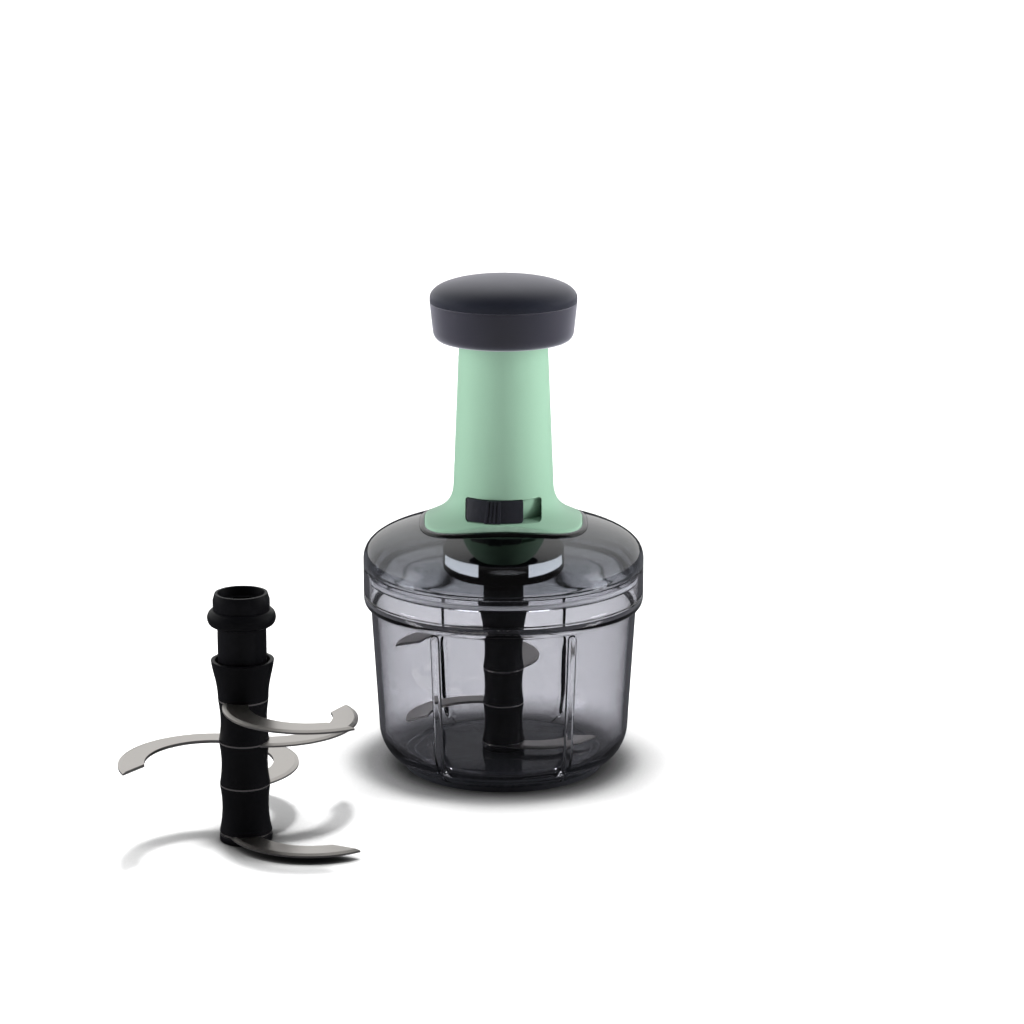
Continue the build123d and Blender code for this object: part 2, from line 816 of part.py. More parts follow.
with BuildPart() as cap_form:
    with BuildSketch(Plane.XZ):
        with BuildLine():
            cap_curve(0)
            Polyline(
                (knob_radius, seam_z + knob_cap_edge),
                (knob_radius, seam_z),
                (0, seam_z),
                (0, knob_top_z),
            )
        make_face()
    revolve(axis=Axis.Z)

with BuildPart() as cap_hollow:
    with BuildSketch(Plane.XZ):
        with BuildLine():
            cap_curve(knob_wall)
            Polyline(
                (knob_radius - knob_wall, seam_z + knob_cap_edge),
                (knob_radius - knob_wall, seam_z),
                (0, seam_z),
                (0, knob_top_z - knob_wall),
            )
        make_face()
    revolve(axis=Axis.Z)

boss_top_z = seam_z + knob_boss_top
with BuildPart() as cap_bosses:
    with BuildSketch(Plane.XY.offset(boss_foot_z)):
        for angle in knob_screw_angles:
            with Locations(polar(knob_screw_circle, angle)):
                Circle(boss_radius)
    extrude(amount=boss_top_z - boss_foot_z)
    with BuildSketch(Plane.XY.offset(tower_top_z + tube_socket_lift)):
        Circle(tube_socket_radius + tube_socket_wall)
        Circle(tube_socket_radius, mode=Mode.SUBTRACT)
    extrude(amount=ceiling_z - tower_top_z - tube_socket_lift)

with BuildPart() as cap_fill:
    with BuildSketch(Plane.XY.offset(boss_foot_z)):
        for angle in knob_screw_angles:
            with Locations(polar(knob_screw_circle, angle)):
                Circle(boss_radius)
        Circle(tube_socket_radius + tube_socket_wall)
        Circle(tube_socket_radius, mode=Mode.SUBTRACT)
    extrude(amount=knob_top_z - boss_foot_z)
    add(cap_form.part, mode=Mode.INTERSECT)

with BuildPart() as knob_cap:
    add(cap_form.part)
    add(cap_hollow.part, mode=Mode.SUBTRACT)
    add(cap_fill.part)
    add(cap_bosses.part)
    with BuildSketch(Plane.XY.offset(boss_foot_z)):
        for angle in knob_screw_angles:
            with Locations(polar(knob_screw_circle, angle)):
                Circle(tower_screw_radius + screw_hole_gap)
    extrude(amount=knob_screw_length - knob_floor_height, mode=Mode.SUBTRACT)
save(knob_cap.part, "knob_cap")

# ---- Knob skirt: the tapered lower ring, with a floor around the tower's top ----
tongue_outer = knob_radius - knob_wall - seat_gap
tongue_top_z = seam_z + knob_cap_edge - seat_gap
with BuildPart() as knob_skirt:
    with BuildSketch(Plane.XZ):
        with BuildLine():
            Line((knob_radius, seam_z - seat_gap), (knob_waist_radius, knob_z + knob_corner_height))
            Bezier(
                (knob_waist_radius, knob_z + knob_corner_height),
                (knob_waist_radius - knob_side_lean, knob_z + knob_side_handle),
                (knob_waist_radius - knob_foot_round, knob_z),
                (knob_foot_radius, knob_z),
            )
            Polyline(
                (knob_foot_radius, knob_z),
                (knob_mouth_radius, knob_z),
                (knob_mouth_radius, knob_z + knob_floor_height),
                (knob_foot_radius, knob_z + knob_floor_height),
                (knob_waist_radius - knob_wall, knob_z + knob_corner_height + knob_wall),
                (tongue_outer - knob_wall, tongue_top_z),
                (tongue_outer, tongue_top_z),
                (tongue_outer, seam_z - seat_gap),
                (knob_radius, seam_z - seat_gap),
            )
        make_face()
    revolve(axis=Axis.Z)
    with BuildSketch(Plane.XY.offset(knob_z)):
        for angle in knob_screw_angles:
            with Locations(polar(knob_screw_circle, angle)):
                Circle(tower_screw_radius + screw_hole_gap)
    extrude(amount=knob_floor_height, mode=Mode.SUBTRACT)
    with BuildSketch(Plane.XY.offset(knob_z)):
        for angle in knob_screw_angles:
            with Locations(polar(knob_screw_circle, angle)):
                Circle(screw_head_radius + screw_hole_gap)
    extrude(amount=knob_floor_height / 2, mode=Mode.SUBTRACT)
save(knob_skirt.part, "knob_skirt")

# ---- Knob screws: from under the knob's floor into the cap's bosses ----
with BuildPart() as knob_screws:
    with BuildSketch(Plane.XY.offset(knob_z + knob_floor_height / 2)):
        for angle in knob_screw_angles:
            with Locations(polar(knob_screw_circle, angle)):
                Circle(tower_screw_radius)
    extrude(amount=knob_screw_length - knob_floor_height / 2)
    with BuildSketch(Plane.XY.offset(knob_z + seat_gap)):
        for angle in knob_screw_angles:
            with Locations(polar(knob_screw_circle, angle)):
                Circle(screw_head_radius)
    extrude(amount=knob_floor_height / 2 - seat_gap)
save(knob_screws.part, "knob_screws")

# ---- Plunger tube: slides in the guide bush and carries the nut at its foot ----
tube_bore = tube_radius - tube_wall
with BuildPart() as plunger_tube:
    with BuildSketch(Plane.XY.offset(nut_z)):
        Circle(tube_radius)
        Circle(tube_bore, mode=Mode.SUBTRACT)
    extrude(amount=tube_top_z - nut_z)
    chamfer(plunger_tube.edges().group_by(Axis.Z)[0].sort_by(SortBy.RADIUS)[-1], tube_chamfer)
save(plunger_tube.part, "plunger_tube")


def twisted_bar(side, corner, height):
    """Square bar twisted about Z, from z = 0 up."""
    with BuildSketch(mode=Mode.PRIVATE) as square:
        RectangleRounded(side, side, corner)
    return Solid.extrude_linear_with_rotation(
        square.sketch.faces()[0], (0, 0, 0), (0, 0, height), 360.0 * height / shaft_lead
    )


# ---- Drive nut: its bore has the shaft's twist, a little wider ----
with BuildPart() as drive_nut:
    with BuildSketch(Plane.XY.offset(nut_z)):
        Circle(tube_bore - seat_gap / 2)
    extrude(amount=nut_height)
    bore_start = nut_z - cut_margin - twist_z
    add(
        twisted_bar(
            shaft_side + 2 * nut_gap, shaft_corner_radius + nut_gap, nut_height + 2 * cut_margin
        )
        .rotate(Axis.Z, 360.0 * bore_start / shaft_lead)
        .moved(Location((0, 0, twist_z + bore_start))),
        mode=Mode.SUBTRACT,
    )
save(drive_nut.part, "drive_nut")

# ---- Spiral shaft: a round journal with a shoulder, then the twisted bar ----
journal_foot_z = circlip_z - journal_end
with BuildPart() as spiral_shaft:
    with BuildSketch(Plane.XY.offset(journal_foot_z)):
        Circle(journal_radius)
    extrude(amount=shaft_seat_z - journal_foot_z)
    with BuildSketch(Plane.XY.offset(shaft_seat_z)):
        Circle(shoulder_radius)
    extrude(amount=shoulder_height)
    add(
        twisted_bar(shaft_side, shaft_corner_radius, shaft_top_z - twist_z).moved(
            Location((0, 0, twist_z))
        )
    )
    with BuildSketch(Plane.XY.offset(journal_foot_z)):
        Circle(coupling_screw_radius + screw_hole_gap)
    extrude(amount=coupling_screw_length, mode=Mode.SUBTRACT)
save(spiral_shaft.part, "spiral_shaft")

# ---- Shaft cap: the return spring's lower seat ----
with BuildPart() as shaft_cap:
    with BuildSketch(Plane.XY.offset(shaft_top_z)):
        Circle(shaft_cap_radius)
    extrude(amount=shaft_cap_height)
    with BuildSketch(Plane.XY.offset(shaft_top_z + shaft_cap_height)):
        Circle(return_spring_radius - 2 * return_spring_wire)
    extrude(amount=shaft_cap_height)
save(shaft_cap.part, "shaft_cap")


def coil(radius, wire, turns, low, high):
    """Round wire coiled between two levels, its ends just inside them."""
    rise = high - low - 2 * wire
    with BuildPart(mode=Mode.PRIVATE) as wound:
        with BuildLine(Plane.XY.offset(low + wire)) as course:
            Helix(pitch=rise / turns, height=rise, radius=radius)
        with BuildSketch(Plane(origin=course.line @ 0, z_dir=course.line % 0)):
            Circle(wire)
        sweep(is_frenet=True)
    return wound.part


# ---- Return spring: between the shaft cap and the knob's ceiling ----
spring_low_z = shaft_top_z + shaft_cap_height + seat_gap
spring_high_z = ceiling_z - seat_gap - coil_end_gap
with BuildPart() as return_spring:
    add(
        coil(
            return_spring_radius,
            return_spring_wire,
            return_spring_turns,
            spring_low_z,
            spring_high_z,
        )
    )
save(return_spring.part, "return_spring")

# ---- Shaft circlip: holds the shaft up in its bearing ----
with BuildPart() as shaft_circlip:
    with BuildSketch(Plane.XY.offset(circlip_z)):
        Circle(circlip_radius)
        Circle(journal_radius, mode=Mode.SUBTRACT)
    extrude(amount=circlip_height)
save(shaft_circlip.part, "shaft_circlip")

# ---- Ratchet spring: presses the driver onto the coupling ----
with BuildPart() as ratchet_spring:
    add(
        coil(
            ratchet_spring_radius,
            ratchet_spring_wire,
            ratchet_spring_turns,
            driver_z + clutch_disc_height,
            circlip_z,
        )
    )
save(ratchet_spring.part, "ratchet_spring")


def clutch_disc(low, tooth_low, tooth_high, first_angle):
    """Disc with a ring of teeth that reach out of it above or below."""
    tooth_step = 360.0 / clutch_teeth
    tooth_outer = clutch_radius - seat_gap
    tooth_inner = clutch_radius - clutch_tooth_depth
    with BuildPart() as disc:
        with BuildSketch(Plane.XY.offset(low)):
            Circle(clutch_radius)
        extrude(amount=clutch_disc_height)
        for index in range(clutch_teeth):
            add(
                sector(
                    (
                        (tooth_inner, tooth_low),
                        (tooth_outer, tooth_low),
                        (tooth_outer, tooth_high),
                        (tooth_inner, tooth_high),
                    ),
                    first_angle + index * tooth_step,
                    clutch_tooth_share * tooth_step,
                )
            )
    return disc.part


# ---- Ratchet driver: turns with the shaft, its teeth pointing down ----
with BuildPart() as ratchet_driver:
    add(clutch_disc(driver_z, clutch_z + seat_gap, driver_z + clutch_disc_height / 2, 0.0))
    with BuildSketch(Plane.XY.offset(driver_z)):
        Circle(journal_radius)
    extrude(amount=clutch_disc_height, mode=Mode.SUBTRACT)
save(ratchet_driver.part, "ratchet_driver")

# ---- Output coupling: teeth above, and a hexagonal plug that drives the blade unit ----
plug_z = socket_top_z - coupling_depth
with BuildPart() as output_coupling:
    coupling_disc_z = clutch_z - clutch_disc_height
    coupling_tooth_z = coupling_disc_z + clutch_disc_height / 2
    add(clutch_disc(coupling_disc_z, coupling_tooth_z, driver_z - seat_gap, 180.0 / clutch_teeth))
    with BuildSketch(Plane.XY.offset(plug_z)):
        RegularPolygon(plug_corner, 6)
    extrude(amount=coupling_disc_z - plug_z)
    with BuildSketch(Plane.XY.offset(journal_foot_z)):
        Circle(journal_radius)
    extrude(amount=clutch_z - journal_foot_z, mode=Mode.SUBTRACT)
    with BuildSketch(Plane.XY.offset(plug_z)):
        Circle(coupling_screw_radius + screw_hole_gap)
    extrude(amount=journal_foot_z - plug_z, mode=Mode.SUBTRACT)
    with BuildSketch(Plane.XY.offset(plug_z)):
        Circle(coupling_head_radius + screw_hole_gap)
    extrude(amount=coupling_head_height, mode=Mode.SUBTRACT)
save(output_coupling.part, "output_coupling")

# ---- Coupling screw: holds the coupling on the shaft's end ----
screw_seat_z = plug_z + coupling_head_height
with BuildPart() as coupling_screw:
    with BuildSketch(Plane.XY.offset(screw_seat_z)):
        Circle(coupling_screw_radius)
    extrude(amount=journal_foot_z + coupling_screw_length - screw_tip_gap - screw_seat_z)
    with BuildSketch(Plane.XY.offset(screw_seat_z)):
        Circle(coupling_head_radius)
    extrude(amount=seat_gap - coupling_head_height)
save(coupling_screw.part, "coupling_screw")


# ---- Blade units ----
bush_radius = pin_radius + running_gap + bush_wall
core_bore = bush_radius + core_bore_gap
blade_levels = []
level = hub_foot_height
for height in (*spacer_heights, 0.0):
    blade_levels.append(level)
    level += blade_thickness + height
sleeve_level = level
sleeve_top = sleeve_level + sleeve_height
unit_height = socket_top_z - hub_z
flange_level = unit_height - socket_height - flange_height


def core_section(radius, flat):
    """Round section with two flats, so that what it carries can't turn on it."""
    Circle(radius)
    Rectangle(2 * radius, 2 * flat, mode=Mode.INTERSECT)


def arm_outline(reach, tip_angle):
    """Closed outline of one curved arm, its round edge leading to the tip."""
    root = Vector(*polar(blade_ring_radius - seat_gap, tip_angle - blade_lag))
    tip = Vector(*polar(reach, tip_angle))
    chord = tip - root
    half = chord.length / 2
    rise = (blade_curve_radius**2 - half**2) ** 0.5
    normal = Vector(-chord.Y, chord.X).normalized()
    centre = (root + tip) * 0.5 + normal * rise

    def on_edge(radius, angle):
        return (centre.X + radius * cos(angle), centre.Y + radius * sin(angle))

    inner_radius = blade_curve_radius - blade_width
    start = atan2(root.Y - centre.Y, root.X - centre.X)
    sweep_angle = 2 * (radians(90.0) - acos(half / blade_curve_radius))
    end = start + sweep_angle
    inner_end = end - blade_tip_cut / inner_radius
    ThreePointArc(
        on_edge(blade_curve_radius, start),
        on_edge(blade_curve_radius, (start + end) / 2),
        on_edge(blade_curve_radius, end),
    )
    Line(on_edge(blade_curve_radius, end), on_edge(inner_radius, inner_end))
    ThreePointArc(
        on_edge(inner_radius, inner_end),
        on_edge(inner_radius, (start + inner_end) / 2),
        on_edge(inner_radius, start),
    )
    Line(on_edge(inner_radius, start), on_edge(blade_curve_radius, start))


def blade(level, reach, tip_angles):
    """Flat steel blade: a ring keyed to the core, with one or two curved arms."""
    with BuildPart() as cut:
        with BuildSketch(Plane.XY.offset(level)):
            Circle(blade_ring_radius)
            for tip_angle in tip_angles:
                with BuildLine():
                    arm_outline(reach, tip_angle)
                make_face()
        extrude(amount=blade_thickness)
        ground = cut.edges().filter_by(GeomType.CIRCLE).group_by(Axis.Z)[-1].filter_by(
            lambda edge: abs(edge.radius - blade_curve_radius) < 0.01
        )
        chamfer(ground, blade_bevel_depth, blade_bevel_width)
        with BuildSketch(Plane.XY.offset(level)):
            core_section(core_radius + seat_gap / 2, core_flat + seat_gap / 2)
        extrude(amount=blade_thickness, mode=Mode.SUBTRACT)
    return cut.part


def spacer(level, height, low_radius, waist_radius, high_radius):
    """Waisted black spacer on the core, between two blades."""
    with BuildPart() as waisted:
        with BuildSketch(Plane.XZ):
            with BuildLine():
                ThreePointArc(
                    (low_radius, level),
                    (waist_radius, level + height / 2),
                    (high_radius, level + height),
                )
                Polyline(
                    (high_radius, level + height), (0, level + height), (0, level), (low_radius, level)
                )
            make_face()
        revolve(axis=Axis.Z)
        with BuildSketch(Plane.XY.offset(level)):
            core_section(core_radius + seat_gap / 2, core_flat + seat_gap / 2)
        extrude(amount=height, mode=Mode.SUBTRACT)
    return waisted.part


def blade_unit(tips, long_reach, low_reach):
    """Pieces of one blade unit by name, standing on z = 0 with its socket pointing up."""
    pieces = {}
    with BuildPart() as foot:
        with BuildSketch():
            Circle(hub_foot_radius)
        extrude(amount=hub_foot_height)
        fillet(foot.edges().group_by(Axis.Z)[0], hub_foot_edge)
        with BuildSketch():
            core_section(core_radius + seat_gap / 2, core_flat + seat_gap / 2)
        extrude(amount=hub_foot_height, mode=Mode.SUBTRACT)
    pieces["hub_foot"] = foot.part

    for index, tip_angles in enumerate(tips):
        reach = low_reach if index == 0 else long_reach
        pieces[f"blade_{index + 1}"] = blade(blade_levels[index], reach, tip_angles)

    for index, height in enumerate(spacer_heights):
        low_radius = hub_foot_radius - seat_gap if index == 0 else hub_ring_radius
        low = blade_levels[index] + blade_thickness
        pieces[f"hub_spacer_{index + 1}"] = spacer(
            low, height, low_radius, hub_waist_radius, hub_ring_radius
        )

    with BuildPart() as sleeve:
        with BuildSketch(Plane.XZ):
            with BuildLine():
                Bezier(
                    (hub_ring_radius, sleeve_level),
                    (hub_ring_radius, sleeve_level + sleeve_foot_handle),
                    (sleeve_mouth_radius - sleeve_flare[0], sleeve_top - sleeve_flare[1]),
                    (sleeve_mouth_radius, sleeve_top),
                )
                Polyline(
                    (sleeve_mouth_radius, sleeve_top),
                    (sleeve_mouth_radius - sleeve_mouth_wall, sleeve_top),
                    (neck_radius + moving_gap, sleeve_top - sleeve_mouth_depth),
                    (0, sleeve_top - sleeve_mouth_depth),
                    (0, sleeve_level),
                    (hub_ring_radius, sleeve_level),
                )
            make_face()
        revolve(axis=Axis.Z)
        with BuildSketch(Plane.XY.offset(sleeve_level)):
            core_section(core_radius + seat_gap / 2, core_flat + seat_gap / 2)
        extrude(amount=sleeve_height, mode=Mode.SUBTRACT)
    pieces["hub_sleeve"] = sleeve.part

    neck_level = sleeve_top - sleeve_mouth_depth + seat_gap / 2
    with BuildPart() as head:
        with BuildSketch(Plane.XZ):
            with BuildLine():
                Polyline(
                    (0, neck_level),
                    (neck_radius, neck_level),
                    (neck_radius, flange_level),
                    (flange_radius, flange_level),
                    (flange_radius, flange_level + flange_height),
                    (socket_wall_radius, flange_level + flange_height),
                    (socket_mouth_radius, unit_height),
                    (0, unit_height),
                    close=True,
                )
            make_face()
        revolve(axis=Axis.Z)
        rim_edges = head.edges().filter_by(GeomType.CIRCLE).filter_by(
            lambda edge: abs(edge.radius - flange_radius) < 0.01
        )
        fillet(rim_edges, flange_edge_radius)
        with BuildSketch(Plane.XY.offset(unit_height - coupling_depth - socket_gap)):
            RegularPolygon(plug_corner + socket_gap, 6)
        extrude(amount=coupling_depth + socket_gap, mode=Mode.SUBTRACT)
        with BuildSketch(Plane.XY.offset(neck_level)):
            core_section(core_radius + seat_gap / 2, core_flat + seat_gap / 2)
        extrude(amount=flange_level - neck_level, mode=Mode.SUBTRACT)
    pieces["hub_head"] = head.part

    with BuildPart() as core:
        with BuildSketch():
            core_section(core_radius, core_flat)
        extrude(amount=flange_level - seat_gap)
        with BuildSketch():
            Circle(core_bore)
        extrude(amount=pin_height - hub_lift + moving_gap, mode=Mode.SUBTRACT)
    pieces["hub_core"] = core.part
    return pieces


def pin_bush(low):
    """Bush that runs on the centre pin, inside the core."""
    with BuildPart() as bush:
        with BuildSketch(Plane.XY.offset(low)):
            Circle(bush_radius)
            Circle(pin_radius + running_gap, mode=Mode.SUBTRACT)
        extrude(amount=bush_height)
    return bush.part


bush_low = floor_z + pin_foot_height + seat_gap / 2
save(pin_bush(bush_low), "pin_bush")
bowl_unit = blade_unit(bowl_blade_tips, blade_reach, low_blade_reach)
for piece_name, piece in bowl_unit.items():
    save(piece.moved(Location((0, 0, hub_z))), piece_name)

spare_place = Location((spare_x, spare_y, 0))
spare_unit = blade_unit(spare_blade_tips, spare_blade_reach, spare_low_blade_reach)
spare_unit["pin_bush"] = pin_bush(bush_low - hub_z)
for piece_name, piece in spare_unit.items():
    save(piece.scale(spare_scale).moved(spare_place), f"spare_{piece_name}")
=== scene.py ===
import math

import bmesh
import bpy
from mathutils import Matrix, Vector


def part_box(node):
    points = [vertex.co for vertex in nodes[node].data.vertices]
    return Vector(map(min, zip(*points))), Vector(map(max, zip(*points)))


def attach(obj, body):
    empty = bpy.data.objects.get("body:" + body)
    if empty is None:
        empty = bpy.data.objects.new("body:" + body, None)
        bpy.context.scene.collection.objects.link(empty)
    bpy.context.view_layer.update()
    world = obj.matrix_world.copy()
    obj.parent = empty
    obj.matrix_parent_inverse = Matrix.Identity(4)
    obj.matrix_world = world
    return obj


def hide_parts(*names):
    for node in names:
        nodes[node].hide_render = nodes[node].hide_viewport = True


# Plunger food chopper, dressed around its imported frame. Metres; +Z up, -Y the front.
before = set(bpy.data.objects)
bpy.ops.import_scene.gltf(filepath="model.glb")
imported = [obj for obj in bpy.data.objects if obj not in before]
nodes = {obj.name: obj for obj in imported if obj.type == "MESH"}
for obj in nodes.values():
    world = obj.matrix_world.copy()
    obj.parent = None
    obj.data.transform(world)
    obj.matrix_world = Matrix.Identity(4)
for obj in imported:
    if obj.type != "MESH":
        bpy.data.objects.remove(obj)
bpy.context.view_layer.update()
MM = 0.001
MERGE_GAP = 0.02 * MM

# ---- Node groups shared by several finishes ----


def new_group(name, inputs, outputs):
    """Empty shader group with these sockets; returns it with its input and output nodes."""
    group = bpy.data.node_groups.new(name, "ShaderNodeTree")
    for label, kind, value in inputs:
        socket = group.interface.new_socket(label, in_out="INPUT", socket_type=kind)
        if value is not None:
            socket.default_value = value
    for label, kind in outputs:
        group.interface.new_socket(label, in_out="OUTPUT", socket_type=kind)
    return group, group.nodes.new("NodeGroupInput"), group.nodes.new("NodeGroupOutput")


def put(tree, kind, **values):
    """Node of this kind in the tree, its sockets and settings given by name."""
    node = tree.nodes.new(kind)
    for key, value in values.items():
        label = key.replace("_", " ")
        if label in node.inputs:
            node.inputs[label].default_value = value
        else:
            setattr(node, key, value)
    return node


def moulded_grain():
    """Fine grain of a moulded surface, with slow waves from the mould under it."""
    group, given, result = new_group(
        "moulded_grain",
        [
            ("Grain Scale", "NodeSocketFloat", 2500.0),
            ("Grain Height", "NodeSocketFloat", 0.2),
            ("Wave Height", "NodeSocketFloat", 0.1),
        ],
        [("Normal", "NodeSocketVector"), ("Mask", "NodeSocketFloat")],
    )
    link = group.links.new
    place = put(group, "ShaderNodeTexCoord")
    grain = put(group, "ShaderNodeTexNoise", Detail=3.0, Roughness=0.6)
    waves = put(group, "ShaderNodeTexNoise", Scale=22.0, Detail=2.0)
    low = put(group, "ShaderNodeBump", Distance=0.0006)
    high = put(group, "ShaderNodeBump", Distance=0.00006)
    link(place.outputs["Object"], grain.inputs["Vector"])
    link(place.outputs["Object"], waves.inputs["Vector"])
    link(given.outputs["Grain Scale"], grain.inputs["Scale"])
    link(given.outputs["Wave Height"], low.inputs["Strength"])
    link(waves.outputs["Fac"], low.inputs["Height"])
    link(given.outputs["Grain Height"], high.inputs["Strength"])
    link(grain.outputs["Fac"], high.inputs["Height"])
    link(low.outputs["Normal"], high.inputs["Normal"])
    link(high.outputs["Normal"], result.inputs["Normal"])
    link(grain.outputs["Fac"], result.inputs["Mask"])
    return group


def handling_marks():
    """Mask of soft smudges and fine scuffs, from handling and washing."""
    group, given, result = new_group(
        "handling_marks",
        [
            ("Smudge Scale", "NodeSocketFloat", 45.0),
            ("Scuff Scale", "NodeSocketFloat", 420.0),
            ("Amount", "NodeSocketFloat", 0.5),
        ],
        [("Mask", "NodeSocketFloat")],
    )
    link = group.links.new
    place = put(group, "ShaderNodeTexCoord")
    smudge = put(group, "ShaderNodeTexNoise", Detail=4.0, Distortion=0.6)
    scuff = put(group, "ShaderNodeTexNoise", Detail=2.0, Roughness=0.7)
    soft = put(group, "ShaderNodeMapRange", From_Min=0.45, From_Max=0.75)
    both = put(group, "ShaderNodeMath", operation="MULTIPLY")
    amount = put(group, "ShaderNodeMath", operation="MULTIPLY")
    link(place.outputs["Object"], smudge.inputs["Vector"])
    link(place.outputs["Object"], scuff.inputs["Vector"])
    link(given.outputs["Smudge Scale"], smudge.inputs["Scale"])
    link(given.outputs["Scuff Scale"], scuff.inputs["Scale"])
    link(smudge.outputs["Fac"], soft.inputs["Value"])
    link(soft.outputs["Result"], both.inputs[0])
    link(scuff.outputs["Fac"], both.inputs[1])
    link(both.outputs["Value"], amount.inputs[0])
    link(given.outputs["Amount"], amount.inputs[1])
    link(amount.outputs["Value"], result.inputs["Mask"])
    return group


def edge_wear_and_highlight():
    """Mask of the convex edges, broken up by noise: wear from handling and a painted edge
    highlight.
    """
    group, given, result = new_group(
        "edge_wear_and_highlight",
        [("Sharpness", "NodeSocketFloat", 8.0), ("Amount", "NodeSocketFloat", 0.5)],
        [("Mask", "NodeSocketFloat")],
    )
    link = group.links.new
    place = put(group, "ShaderNodeTexCoord")
    shape = put(group, "ShaderNodeNewGeometry")
    noise = put(group, "ShaderNodeTexNoise", Scale=260.0, Detail=3.0)
    lifted = put(group, "ShaderNodeMath", operation="SUBTRACT")
    lifted.inputs[1].default_value = 0.53
    steep = put(group, "ShaderNodeMath", operation="MULTIPLY", use_clamp=True)
    broken = put(group, "ShaderNodeMath", operation="MULTIPLY")
    amount = put(group, "ShaderNodeMath", operation="MULTIPLY", use_clamp=True)
    link(place.outputs["Object"], noise.inputs["Vector"])
    link(shape.outputs["Pointiness"], lifted.inputs[0])
    link(lifted.outputs["Value"], steep.inputs[0])
    link(given.outputs["Sharpness"], steep.inputs[1])
    link(steep.outputs["Value"], broken.inputs[0])
    link(noise.outputs["Fac"], broken.inputs[1])
    link(broken.outputs["Value"], amount.inputs[0])
    link(given.outputs["Amount"], amount.inputs[1])
    link(amount.outputs["Value"], result.inputs["Mask"])
    return group


GRAIN = moulded_grain()
MARKS = handling_marks()
EDGES = edge_wear_and_highlight()

# ---- Finishes ----


def new_finish(name):
    """Material with a Principled shader; returns the material, its tree and the shader."""
    finish = bpy.data.materials.new(name)
    finish.use_nodes = True
    tree = finish.node_tree
    return finish, tree, tree.nodes["Principled BSDF"]


def use_group(tree, group, **values):
    """One use of a shared group in a material."""
    node = tree.nodes.new("ShaderNodeGroup")
    node.node_tree = group
    for key, value in values.items():
        node.inputs[key.replace("_", " ")].default_value = value
    return node


def blend_colour(tree, mask, low, high):
    """Colour that goes from low to high with the mask."""
    ramp = put(tree, "ShaderNodeValToRGB")
    ramp.color_ramp.elements[0].color = (*low, 1.0)
    ramp.color_ramp.elements[1].color = (*high, 1.0)
    tree.links.new(mask, ramp.inputs["Fac"])
    return ramp.outputs["Color"]


def blend_value(tree, mask, low, high):
    """Value that goes from low to high with the mask."""
    span = put(tree, "ShaderNodeMapRange", To_Min=low, To_Max=high)
    tree.links.new(mask, span.inputs["Value"])
    return span.outputs["Result"]


def plastic(name, low, high, roughness, rubbed, worn_and_highlit_edge=None, grain_scale=2600.0,
            grain_height=0.25, wave_height=0.05, specular=0.5, sheen=0.0, emission=0.0):
    """Moulded plastic: colour wanders from low to high, handling polishes it, and its edges are
    paler, partly wear and partly a painted highlight.
    """
    finish, tree, shader = new_finish(name)
    link = tree.links.new
    grain = use_group(tree, GRAIN, Grain_Scale=grain_scale, Grain_Height=grain_height,
                      Wave_Height=wave_height)
    marks = use_group(tree, MARKS, Amount=0.8)
    edges = use_group(tree, EDGES, Sharpness=14.0, Amount=0.9)
    # Paler edges: wear from handling and a painted highlight.
    colour = put(tree, "ShaderNodeMix", data_type="RGBA")
    colour.inputs[7].default_value = (*(worn_and_highlit_edge or tuple(1.35 * c for c in high)), 1.0)
    link(edges.outputs["Mask"], colour.inputs["Factor"])
    link(blend_colour(tree, grain.outputs["Mask"], low, high), colour.inputs[6])
    link(grain.outputs["Normal"], shader.inputs["Normal"])
    link(colour.outputs[2], shader.inputs["Base Color"])
    link(blend_value(tree, marks.outputs["Mask"], roughness, rubbed), shader.inputs["Roughness"])
    shader.inputs["Specular IOR Level"].default_value = specular
    # Painted glow: emission lights a part though it is no lamp; only the window panes use it.
    shader.inputs["Emission Color"].default_value = (0.93, 0.96, 1.0, 1.0)
    shader.inputs["Emission Strength"].default_value = emission
    shader.inputs["Sheen Weight"].default_value = sheen
    shader.inputs["Sheen Roughness"].default_value = 0.4
    shader.inputs["Sheen Tint"].default_value = (0.88, 0.87, 1.0, 1.0)
    return finish


